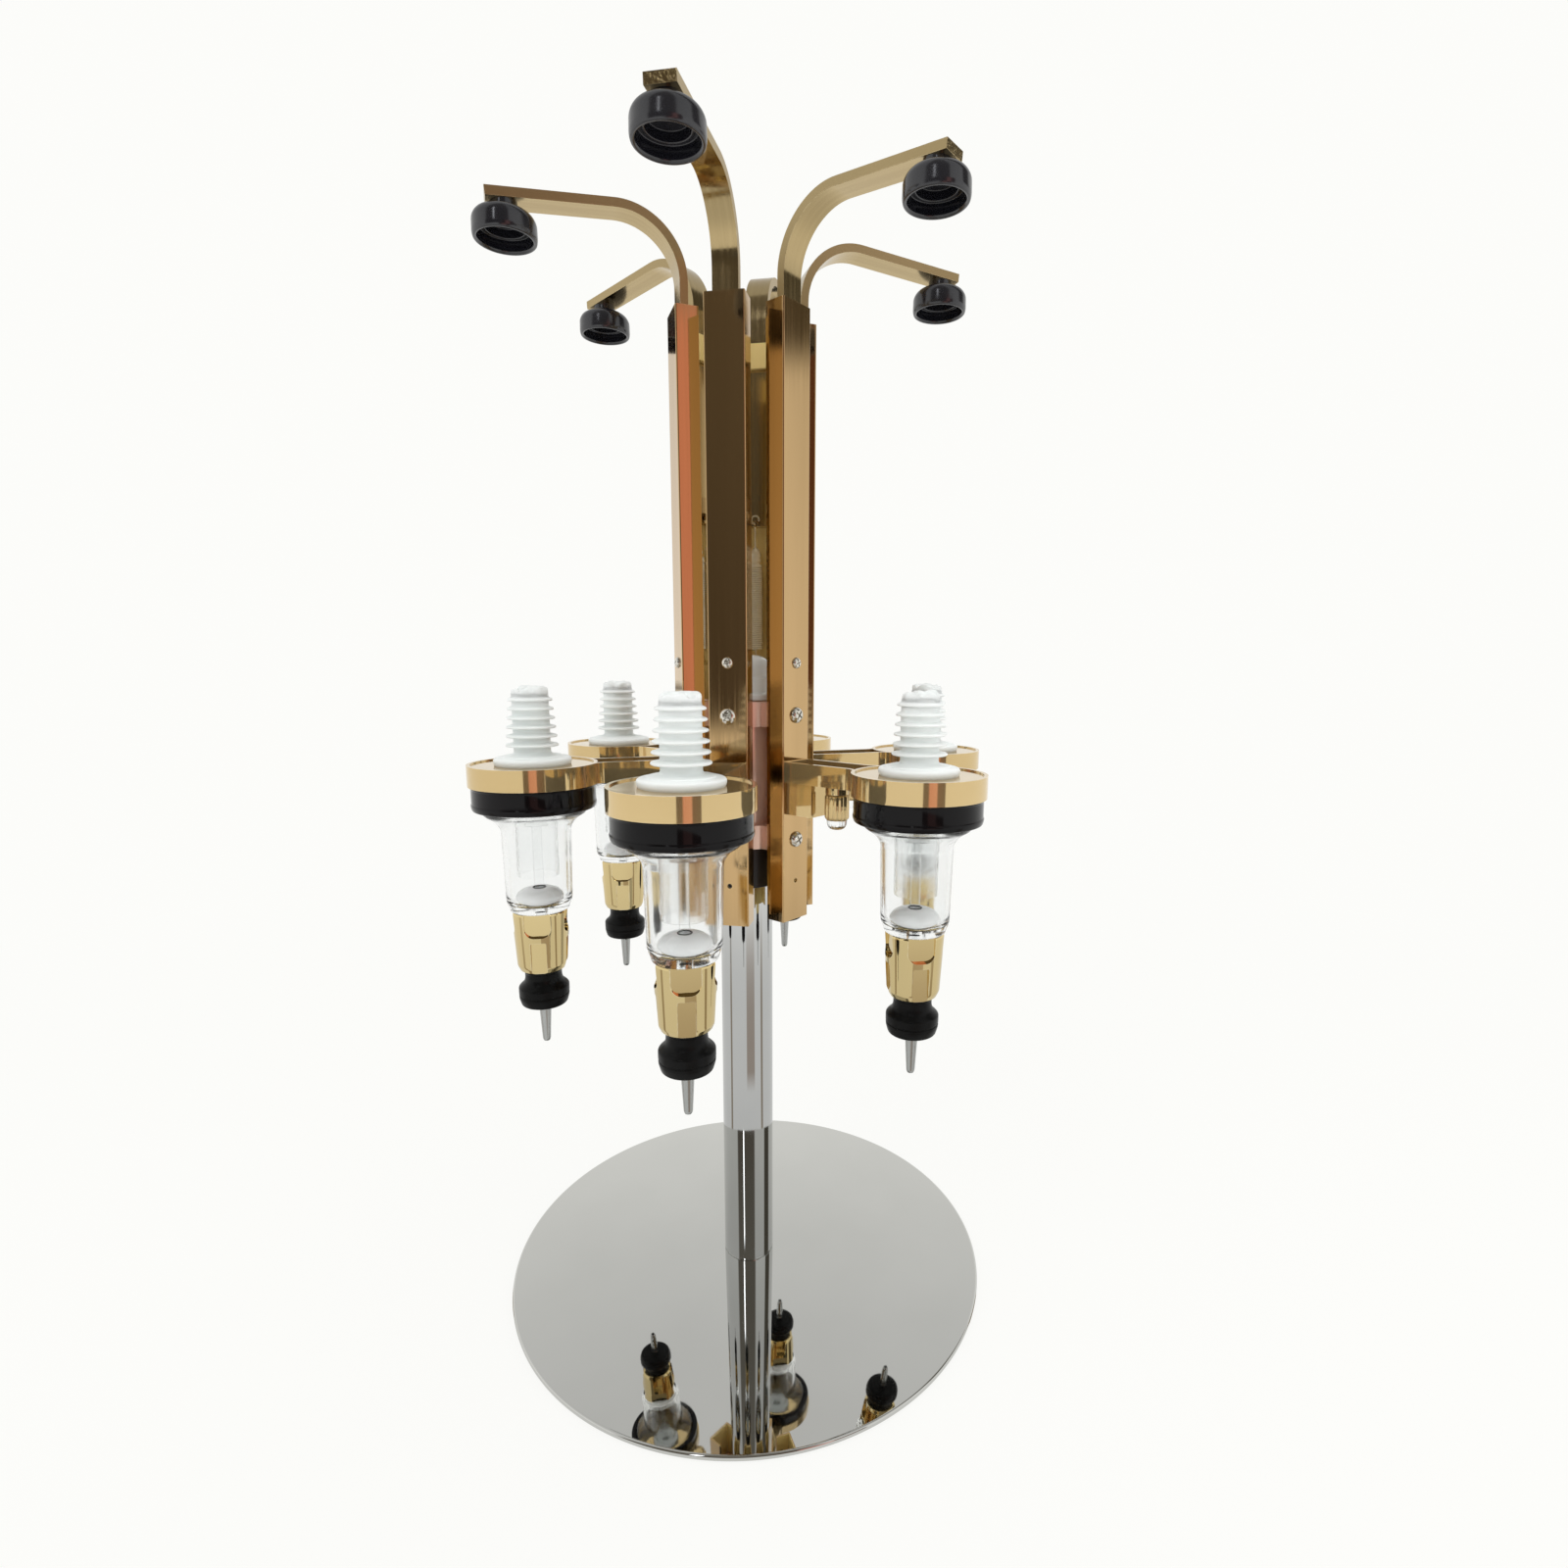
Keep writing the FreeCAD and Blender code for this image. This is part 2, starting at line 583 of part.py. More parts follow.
def make_knob():
    """Fluted clamp knob with a domed tip, on a stud that turns in the bracket's boss."""
    top = RING_BOTTOM - BOSS_DROP - SEAT_GAP
    ridge = KNOB_D / 2
    points = []
    for step in range(2 * KNOB_FLUTES):
        turn = math.pi * step / KNOB_FLUTES
        radius = ridge - FLUTE_DEPTH * (step % 2)
        points.append(V(radius * math.cos(turn), radius * math.sin(turn), KNOB_BOTTOM))
    barrel = Part.Face(Part.makePolygon(points + points[:1])).extrude(V(0, 0, top - KNOB_BOTTOM))
    barrel.translate(V(KNOB_AXIS, 0, 0))
    tip = Part.makeCone(KNOB_TIP_D / 2 - TIP_TAPER, KNOB_TIP_D / 2, KNOB_TIP_H,
                        V(KNOB_AXIS, 0, KNOB_BOTTOM - KNOB_TIP_H), UP)
    stud_top = RING_BOTTOM + TROUGH_FLOOR + BOSS_RISE - SEAT_GAP
    stud = cylinder(KNOB_STUD_D, top, stud_top, KNOB_AXIS)
    return barrel.fuse(tip).fuse(stud).removeSplitter()


def all_pieces():
    arm = make_arm()
    pieces = {
        "foot_pad": make_foot_pad(),
        "base_plate": make_base_plate(),
        "base_bolt": make_base_bolt(),
        "pole": make_pole(),
        "thrust_collar": make_thrust_collar(),
        "pole_cap": make_pole_cap(),
        "hub_sleeve": make_hub_sleeve(),
        "hub_spiders": make_hub_spiders(),
        "arm_guides": make_arm_guides(),
        "channel_screws": make_channel_screws(),
        "spring_anchors": make_spring_anchors(),
        "bracket_screws": make_bracket_screws(),
        "brackets": at_every_station(make_bracket()),
        "lock_rings": at_every_station(make_lock_ring()),
        "stoppers": at_every_station(make_stopper()),
        "chambers": at_every_station(make_chamber()),
        "valve_sleeves": at_every_station(make_valve_sleeve()),
    }
    repeated = {
        "channel": make_channel(),
        "arm": arm,
        "cup": make_cup(arm),
        "spring": make_spring(),
        "clamp_knob": make_knob(),
        "plunger": make_plunger(),
        "spout": make_spout(),
    }
    for name, shape in repeated.items():
        for number in range(1, STATIONS + 1):
            pieces[name + "_" + str(number)] = at_station(shape, number)
    return pieces


os.makedirs("parts", exist_ok=True)
for name, shape in all_pieces().items():
    shape.exportStep("parts/" + name + ".step")
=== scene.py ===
"""Looks of the rotary drinks dispenser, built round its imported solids.

Pieces are shaped in millimetres and scaled to metres when they are finished.
Each station's pieces are made once on +X and turned to their place.
"""

import json
import math

import bmesh
import bpy
from mathutils import Matrix, Vector, noise


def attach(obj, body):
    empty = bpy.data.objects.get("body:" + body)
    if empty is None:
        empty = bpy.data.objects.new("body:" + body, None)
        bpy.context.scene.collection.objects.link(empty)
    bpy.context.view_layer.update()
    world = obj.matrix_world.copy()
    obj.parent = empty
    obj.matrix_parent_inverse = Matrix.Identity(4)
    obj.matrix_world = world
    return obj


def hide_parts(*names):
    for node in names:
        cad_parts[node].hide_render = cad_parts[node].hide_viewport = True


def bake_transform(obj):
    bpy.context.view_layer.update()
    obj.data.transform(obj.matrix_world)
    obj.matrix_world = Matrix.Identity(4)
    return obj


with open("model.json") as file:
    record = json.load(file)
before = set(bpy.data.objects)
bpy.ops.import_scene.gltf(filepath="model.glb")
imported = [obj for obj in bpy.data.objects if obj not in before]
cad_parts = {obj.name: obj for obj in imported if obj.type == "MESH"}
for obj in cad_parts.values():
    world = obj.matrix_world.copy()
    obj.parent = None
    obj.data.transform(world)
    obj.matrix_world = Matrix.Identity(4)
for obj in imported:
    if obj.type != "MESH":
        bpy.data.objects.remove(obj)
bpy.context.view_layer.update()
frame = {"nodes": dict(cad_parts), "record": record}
NODES = frame["nodes"]
SLOTS = {part["node"]: part["material_slot"] for part in frame["record"]["subparts"]}

MM = 0.001
STATIONS = 6
FIRST_ANGLE = -90.0
TURN = -360.0 / STATIONS

# Heights and radii shared with the solids
BASE_R = 150.0
BASE_LOW = 0.8
BASE_TOP = 4.0
POLE_R = 16.0
POLE_BORE_R = 14.5
POLE_TOP = 367.0
HUB_BORE_R = 16.06
HUB_R = 19.06
HUB_LOW = 280.0
HUB_TOP = 366.7
COLLAR_R = 21.0
COLLAR_LOW = 255.7
COLLAR_TOP = 279.7
CHANNEL_FACE = 40.0
CHANNEL_SKIN = 1.0                       # depth from the outer face at which the inside starts
CHANNEL_INNER_HALF = 9.5
OPTIC_AXIS = 122.3
RING_LOW = 321.8
SEAT_Z = 332.7
LOCK_LOW = 308.4
LOCK_R = 33.5
LOCK_BORE_R = 29.2
CHAMBER_LOW = 250.0
SLEEVE_LOW = 215.0
SLEEVE_BORE_R = 11.0
BELL_LOW = 193.0
SPOUT_LOW = 169.7
KNOB_AXIS = 70.0
KNOB_LOW = 302.5
KNOB_RISE = 14.4
CUP_AXIS = 123.0
CUP_RIM = 596.0
CUP_TOP = 617.1
SPRING_AXIS = 28.6
ANCHOR_Z = 388.5
PEG_Z = 474.4
ARM_DROOP = 5.0
ARM_END = 132.0
BAR_HALF_WIDTH = 6.85
RELIEF_BEARING = -71.0                   # all the sleeves' reliefs are set to face this way

# Camera, from the photograph's own perspective
CAMERA_PLACE = Vector((0.1182, -0.4783, 0.3892))
CAMERA_LOOK = Vector((-0.16864, 0.97152, -0.16643))
CAMERA_ROLL = 0.27
CAMERA_LENS = 18.74
CAMERA_SHIFT = (-0.0119, 0.0100)

# Studio
PALE = (0.975, 0.975, 0.952, 1)
FLOOR_HALF = 1.25
FLOOR_FADE = (0.35, 1.2)
FLOOR_GLOW = 0.90

# What polished metal mirrors, in degrees of bearing and in rise, the Z of a direction
ROOM_BEARINGS = (-131.0, -43.0)          # dark room in front
ROOM_FOOT = (-0.098, -0.066)
STRIP_BEARINGS = (-81.0, -43.0)          # upright dark and reddish strip at its side
STRIP_LEAN = 13.0
STRIP_LEAN_RISE = (-0.11, -0.05)
STRIP_REACH = (0.385, 0.355)
SLIT_BEARINGS = (-100.5, -95.5)          # bright slit high in the room
SLIT_MIDDLE = 0.55
SLIT_REACH = (0.15, 0.12)
CORNER_BEARINGS = (2.0, 38.0)            # dark corner high on the right
CORNER_FOOT = (0.30, 0.345)
# Painted shade on the floor, seen only in reflections: dark stripes that polished metal mirrors
# as streaks.
FLOOR_SHADE_STRIPES = ((-158.0, -147.0), (-16.0, -4.0))
FLOOR_SHADE_START = (0.22, 0.26)         # metres from the pole


def station_turn(number):
    return Matrix.Rotation(math.radians(FIRST_ANGLE + TURN * (number - 1)), 4, "Z")


class Graph:
    """Short ways to add and join shader nodes."""

    def __init__(self, tree):
        self.nodes = tree.nodes
        self.links = tree.links

    def put(self, socket, value):
        """Join an output to a socket, or set the socket to a number or colour."""
        if isinstance(value, bpy.types.NodeSocket):
            self.links.new(value, socket)
        else:
            socket.default_value = value

    def math(self, operation, first, second=0.0):
        node = self.nodes.new("ShaderNodeMath")
        node.operation = operation
        self.put(node.inputs[0], first)
        self.put(node.inputs[1], second)
        return node.outputs[0]

    def fit(self, source, start, end, low=0.0, high=1.0, smooth=False):
        """Source from start..end brought to low..high, and held there outside."""
        node = self.nodes.new("ShaderNodeMapRange")
        if smooth:
            node.interpolation_type = "SMOOTHSTEP"
        node.inputs["From Min"].default_value = start
        node.inputs["From Max"].default_value = end
        node.inputs["To Min"].default_value = low
        node.inputs["To Max"].default_value = high
        self.links.new(source, node.inputs["Value"])
        return node.outputs[0]

    def blend(self, share, first, second):
        node = self.nodes.new("ShaderNodeMix")
        node.data_type = "RGBA"
        self.put(node.inputs["Factor"], share)
        self.put(node.inputs["A"], first)
        self.put(node.inputs["B"], second)
        return node.outputs["Result"]

    def ramp(self, source, stops):
        """Colour ramp from (position, colour) stops."""
        node = self.nodes.new("ShaderNodeValToRGB")
        elements = node.color_ramp.elements
        while len(elements) < len(stops):
            elements.new(0.5)
        for element, (position, colour) in zip(elements, stops):
            element.position = position
            element.color = (*colour, 1)
        self.links.new(source, node.inputs["Fac"])
        return node.outputs["Color"]

    def shader_mix(self, share, first, second):
        node = self.nodes.new("ShaderNodeMixShader")
        self.put(node.inputs[0], share)
        self.links.new(first, node.inputs[1])
        self.links.new(second, node.inputs[2])
        return node.outputs[0]

    def parts_of(self, vector):
        """X, Y and Z of a vector output."""
        node = self.nodes.new("ShaderNodeSeparateXYZ")
        self.links.new(vector, node.inputs[0])
        return node.outputs

    def seen_straight(self):
        """1 for rays from the camera, straight or through clear plastic."""
        path = self.nodes.new("ShaderNodeLightPath")
        return self.math("MAXIMUM", path.outputs["Is Camera Ray"],
                         path.outputs["Is Transmission Ray"])


# Camera, light and floor

def place_camera():
    data = bpy.data.cameras.new("camera")
    data.lens = CAMERA_LENS
    data.sensor_width = 36.0
    data.shift_x, data.shift_y = CAMERA_SHIFT
    data.clip_start = 0.01
    camera = bpy.data.objects.new("camera", data)
    look = CAMERA_LOOK.normalized()
    right = look.cross(Vector((0, 0, 1))).normalized()
    up = right.cross(look)
    turn = Matrix((right, up, -look)).transposed().to_4x4()
    roll = Matrix.Rotation(math.radians(CAMERA_ROLL), 4, "Z")
    camera.matrix_world = Matrix.Translation(CAMERA_PLACE) @ turn @ roll
    bpy.context.scene.collection.objects.link(camera)
    bpy.context.scene.camera = camera


def soft_lamp(name, place, size, watts):
    data = bpy.data.lights.new(name, "AREA")
    data.shape = "SQUARE"
    data.size = size
    data.energy = watts
    lamp = bpy.data.objects.new(name, data)
    lamp.location = place
    aim = Vector((0, 0, 0.3)) - Vector(place)
    lamp.rotation_euler = aim.to_track_quat("-Z", "Y").to_euler()
    lamp.visible_glossy = False
    bpy.context.scene.collection.objects.link(lamp)


def between(graph, source, degrees, soft):
    """1 where a bearing lies between two others, with soft edges."""
    first, last = (math.radians(value) for value in degrees)
    off = graph.math("ABSOLUTE", graph.math("SUBTRACT", source, (first + last) / 2))
    half = (last - first) / 2
    return graph.fit(off, half, half - math.radians(soft), smooth=True)


def mirrored_room(graph):
    """What polished metal shows: pale walls, a dark room with a slit, a strip and a corner."""
    heading = graph.nodes.new("ShaderNodeTexCoord").outputs["Generated"]
    east, north, rise = graph.parts_of(heading)
    bearing = graph.math("ARCTAN2", north, east)
    walls = graph.ramp(graph.fit(rise, -1, 1), [
        (0.0, (1.0, 1.0, 0.98)), (0.48, (1.0, 1.0, 0.98)), (0.60, (0.90, 0.90, 0.885)),
        (0.70, (0.84, 0.84, 0.82)), (0.86, (0.66, 0.66, 0.65)), (1.0, (0.56, 0.56, 0.55))])
    corner = graph.math("MULTIPLY", between(graph, bearing, CORNER_BEARINGS, 6),
                        graph.fit(rise, *CORNER_FOOT, smooth=True))
    shown = graph.blend(corner, walls, (0.10, 0.09, 0.07, 1))
    depth = graph.ramp(graph.fit(rise, -0.1, 0.9), [
        (0.0, (0.085, 0.072, 0.058)), (0.4, (0.12, 0.105, 0.085)), (1.0, (0.20, 0.185, 0.16))])
    room = graph.math("MULTIPLY", between(graph, bearing, ROOM_BEARINGS, 7),
                      graph.fit(rise, *ROOM_FOOT, smooth=True))
    shown = graph.blend(room, shown, depth)
    off = graph.math("ABSOLUTE", graph.math("SUBTRACT", rise, SLIT_MIDDLE))
    slit = graph.math("MULTIPLY", between(graph, bearing, SLIT_BEARINGS, 1),
                      graph.fit(off, *SLIT_REACH))
    shown = graph.blend(slit, shown, (5.0, 5.1, 5.4, 1))
    lean = graph.fit(rise, *STRIP_LEAN_RISE, 0, math.radians(STRIP_LEAN))
    upright = graph.math("SUBTRACT", bearing, lean)
    first, last = (math.radians(value) for value in STRIP_BEARINGS)
    strip = graph.ramp(graph.fit(upright, first, last), [
        (0.0, (0.10, 0.06, 0.035)), (0.24, (0.12, 0.055, 0.03)), (0.29, (0.80, 0.34, 0.29)),
        (0.60, (0.86, 0.42, 0.36)), (0.65, (0.15, 0.06, 0.035)), (1.0, (0.11, 0.065, 0.035))])
    tall = graph.fit(graph.math("ABSOLUTE", rise), *STRIP_REACH)
    beside = graph.math("MULTIPLY", between(graph, upright, STRIP_BEARINGS, 1.2), tall)
    return graph.blend(beside, shown, strip)


def light_the_room():
    world = bpy.data.worlds.new("room")
    world.use_nodes = True
    bpy.context.scene.world = world
    graph = Graph(world.node_tree)
    graph.nodes.clear()
    glows = []
    for colour in ((0.80, 0.80, 0.79, 1), mirrored_room(graph), PALE):
        glow = graph.nodes.new("ShaderNodeBackground")
        graph.put(glow.inputs["Color"], colour)
        glows.append(glow.outputs[0])
    path = graph.nodes.new("ShaderNodeLightPath")
    lit = graph.shader_mix(path.outputs["Is Glossy Ray"], glows[0], glows[1])
    final = graph.shader_mix(graph.seen_straight(), lit, glows[2])
    out = graph.nodes.new("ShaderNodeOutputWorld")
    graph.links.new(final, out.inputs["Surface"])
    soft_lamp("key_lamp", (-0.9, -1.1, 1.5), 1.2, 9.0)
    soft_lamp("top_lamp", (0.5, 0.2, 1.8), 1.4, 7.0)
    soft_lamp("side_lamp", (1.2, -0.5, 0.7), 0.8, 3.0)


def mesh_from(bm, name):
    mesh = bpy.data.meshes.new(name)
    bm.to_mesh(mesh)
    bm.free()
    return mesh


def lay_floor():
    """Pale floor that keeps a faint shadow and fades into the backdrop at its edge."""
    bm = bmesh.new()
    bmesh.ops.create_grid(bm, x_segments=1, y_segments=1, size=FLOOR_HALF)
    mesh = mesh_from(bm, "floor")
    floor = bpy.data.objects.new("floor", mesh)
    bpy.context.scene.collection.objects.link(floor)
    material = bpy.data.materials.new("studio_floor")
    material.use_nodes = True
    graph = Graph(material.node_tree)
    graph.nodes.clear()
    paint = graph.nodes.new("ShaderNodeBsdfDiffuse")
    paint.inputs["Color"].default_value = (0.90, 0.90, 0.88, 1)
    coords = graph.nodes.new("ShaderNodeTexCoord").outputs["Object"]
    reach = graph.nodes.new("ShaderNodeVectorMath")
    reach.operation = "LENGTH"
    graph.links.new(coords, reach.inputs[0])
    edge = graph.fit(reach.outputs["Value"], *FLOOR_FADE, smooth=True)
    east, north, _ = graph.parts_of(coords)
    bearing = graph.math("ARCTAN2", north, east)
    shade = graph.math("MULTIPLY", between(graph, bearing, STRIP_BEARINGS, 3),
                       graph.fit(reach.outputs["Value"], *FLOOR_SHADE_START))
    # Seen in reflections the floor glows with a set tone, a painted reflection, with painted
    # shade in a band at the strip's bearings and in dark stripes.
    mirrored = graph.nodes.new("ShaderNodeEmission")
    tone = graph.blend(shade, (0.76, 0.76, 0.745, 1), (0.42, 0.36, 0.31, 1))
    for bearings in FLOOR_SHADE_STRIPES:
        tone = graph.blend(between(graph, bearing, bearings, 2), tone, (0.34, 0.29, 0.23, 1))
    graph.links.new(graph.blend(edge, tone, PALE), mirrored.inputs["Color"])
    glow = graph.nodes.new("ShaderNodeEmission")
    glow.inputs["Color"].default_value = PALE
    path = graph.nodes.new("ShaderNodeLightPath")
    matt = graph.shader_mix(path.outputs["Is Glossy Ray"], paint.outputs[0],
                            mirrored.outputs[0])
    straight = graph.shader_mix(graph.fit(edge, 0, 1, FLOOR_GLOW, 1), paint.outputs[0],
                                glow.outputs[0])
    final = graph.shader_mix(graph.seen_straight(), matt, straight)
    out = graph.nodes.new("ShaderNodeOutputMaterial")
    graph.links.new(final, out.inputs["Surface"])
    mesh.materials.append(material)


# Finishes

class Finish(Graph):
    """One material: a principled surface with noise-driven colour, roughness and bump."""

    def __init__(self, name, **values):
        self.material = bpy.data.materials.new(name)
        self.material.use_nodes = True
        super().__init__(self.material.node_tree)
        self.surface = self.nodes["Principled BSDF"]
        self.coords = self.nodes.new("ShaderNodeTexCoord").outputs["Object"]
        for key, value in values.items():
            self.surface.inputs[key.replace("_", " ")].default_value = value

    def grain(self, scale, detail=3.0, stretch=(1, 1, 1)):
        """Cloudy noise, stretched along an axis for a drawn look."""
        place = self.nodes.new("ShaderNodeMapping")
        place.inputs["Scale"].default_value = stretch
        cloud = self.nodes.new("ShaderNodeTexNoise")
        cloud.inputs["Scale"].default_value = scale
        cloud.inputs["Detail"].default_value = detail
        self.links.new(self.coords, place.inputs["Vector"])
        self.links.new(place.outputs[0], cloud.inputs["Vector"])
        return cloud.outputs["Fac"]

    def along_bar(self):
        """Read each point's place as if its station faced +X."""
        lay = self.nodes.new("ShaderNodeAttribute")
        lay.attribute_name = "place"
        self.coords = lay.outputs["Vector"]
        return self

    def rubbed_edges(self, reach=0.0007):
        """1 on outer edges, broken up by a fine cloud, and 0 on flats."""
        eased = self.nodes.new("ShaderNodeBevel")
        eased.samples = 4
        eased.inputs["Radius"].default_value = reach
        match = self.nodes.new("ShaderNodeVectorMath")
        match.operation = "DOT_PRODUCT"
        self.links.new(eased.outputs[0], match.inputs[0])
        flat = self.nodes.new("ShaderNodeNewGeometry").outputs["Normal"]
        self.links.new(flat, match.inputs[1])
        edge = self.fit(match.outputs["Value"], 0.98, 0.80)
        return self.math("MULTIPLY", edge, self.fit(self.grain(260), 0.35, 0.60))

    def colour(self, source, first, second, worn=None):
        """Two colours mixed by a grain, and a third where edges are rubbed."""
        result = self.blend(self.fit(source, 0.3, 0.7), (*first, 1), (*second, 1))
        if worn:
            result = self.blend(self.rubbed_edges(), result, (*worn, 1))
        self.links.new(result, self.surface.inputs["Base Color"])
        return self

    def roughness(self, source, low, high):
        self.links.new(self.fit(source, 0.3, 0.7, low, high), self.surface.inputs["Roughness"])
        return self

    def bump(self, source, strength, distance):
        lift = self.nodes.new("ShaderNodeBump")
        self.put(lift.inputs["Strength"], strength)
        lift.inputs["Distance"].default_value = distance
        self.links.new(source, lift.inputs["Height"])
        self.links.new(lift.outputs[0], self.surface.inputs["Normal"])
        return self


def polished(name, first, second, worn, low, high, strength=0.015, metal=1.0):
    """Polished or plated metal with faint handling marks."""
    finish = Finish(name, Metallic=metal)
    finish.colour(finish.grain(14), first, second, worn)
    finish.roughness(finish.grain(55, 5), low, high)
    return finish.bump(finish.grain(160, 2), strength, 0.0002)


def moulded(name, first, second, worn, low, high, scale=160, strength=0.05, gloss=0.5):
    """Moulded plastic or rubber with a fine skin."""
    finish = Finish(name, Specular_IOR_Level=gloss)
    finish.colour(finish.grain(24), first, second, worn)
    finish.roughness(finish.grain(70, 4), low, high)
    return finish.bump(finish.grain(scale, 4), strength, 0.0003)


def gold_channel():
    """Polished gold with fine upright draw lines, and a mostly matt inside painted paler as
    painted light, standing in for light bounced between the gold walls.
    """
    finish = Finish("polished_gold_channel", Metallic=1.0)
    lines = finish.grain(900, 2, (1, 1, 0.01))
    tint = finish.grain(60, 3, (1, 1, 0.06))
    outside = finish.blend(finish.fit(tint, 0.3, 0.7), (0.53, 0.355, 0.17, 1),
                           (0.60, 0.405, 0.20, 1))
    outside = finish.blend(finish.rubbed_edges(), outside, (0.78, 0.60, 0.34, 1))
    smooth = finish.fit(lines, 0.3, 0.7, 0.05, 0.13)
    finish.bump(lines, 0.035, 0.0001)
    finish.along_bar()
    outward, across, _ = finish.parts_of(finish.coords)
    behind = finish.math("LESS_THAN", outward, (CHANNEL_FACE - CHANNEL_SKIN) * MM)
    within = finish.math("LESS_THAN", finish.math("ABSOLUTE", across),
                         CHANNEL_INNER_HALF * MM)
    inside = finish.math("MULTIPLY", behind, within)
    # Inside faces get a pale gold: painted light standing in for the light bounced between the
    # channels' gold walls.
    painted_bounce_gold = finish.blend(finish.fit(tint, 0.3, 0.7), (0.86, 0.66, 0.26, 1), (0.94, 0.75, 0.33, 1))
    finish.links.new(finish.blend(inside, outside, painted_bounce_gold), finish.surface.inputs["Base Color"])
    finish.put(finish.surface.inputs["Roughness"],
               finish.math("MAXIMUM", smooth, finish.math("MULTIPLY", inside, 0.34)))
    finish.put(finish.surface.inputs["Metallic"], finish.fit(inside, 0, 1, 1.0, 0.15))
    return finish


def gold_bar():
    """Drawn gold bar: fine lines along it, duller edges and a rough sawn end."""
    finish = Finish("drawn_gold_bar", Metallic=1.0).along_bar()
    lines = finish.grain(700, 3, (0.012, 1, 0.012))
    tint = finish.grain(220, 3, (0.03, 1, 0.03))
    finish.colour(tint, (0.43, 0.325, 0.165), (0.52, 0.40, 0.21), (0.76, 0.62, 0.38))
    outward, across, _ = finish.parts_of(finish.coords)
    edge = finish.math("GREATER_THAN", finish.math("ABSOLUTE", across), BAR_HALF_WIDTH * MM)
    finish.put(finish.surface.inputs["Roughness"],
               finish.math("MAXIMUM", finish.fit(lines, 0.3, 0.7, 0.10, 0.19),
                           finish.math("MULTIPLY", edge, 0.36)))
    sawn = finish.fit(outward, (ARM_END - 0.9) * MM, (ARM_END - 0.5) * MM)
    height = finish.nodes.new("ShaderNodeMix")
    finish.links.new(sawn, height.inputs["Factor"])
    finish.links.new(lines, height.inputs["A"])
    finish.links.new(finish.grain(520, 5), height.inputs["B"])
    return finish.bump(height.outputs[0], finish.fit(sawn, 0, 1, 0.012, 0.7), 0.0003)


def clear_plastic():
    finish = Finish("clear_styrene", IOR=1.27, Transmission_Weight=1.0)
    finish.colour(finish.grain(30), (0.945, 0.955, 0.955), (0.98, 0.985, 0.985))
    finish.roughness(finish.grain(60, 4), 0.05, 0.13)
    return finish.bump(finish.grain(45, 2), 0.05, 0.0005)


def thin_clear():
    finish = Finish("thin_clear_tube", IOR=1.08, Transmission_Weight=1.0, Alpha=0.35)
    finish.colour(finish.grain(30), (0.90, 0.91, 0.91), (0.94, 0.95, 0.95))
    finish.roughness(finish.grain(60, 4), 0.14, 0.26)
    return finish.bump(finish.grain(60, 2), 0.04, 0.0004)


def milky(name, first, second, worn, low, high, share, depth):
    """Silicone or milky plastic that light sinks into."""
    finish = moulded(name, first, second, worn, low, high, 240, 0.10)
    finish.surface.inputs["Subsurface Weight"].default_value = share
    finish.surface.inputs["Subsurface Radius"].default_value = (0.95, 1.0, 0.98)
    finish.surface.inputs["Subsurface Scale"].default_value = depth
    return finish


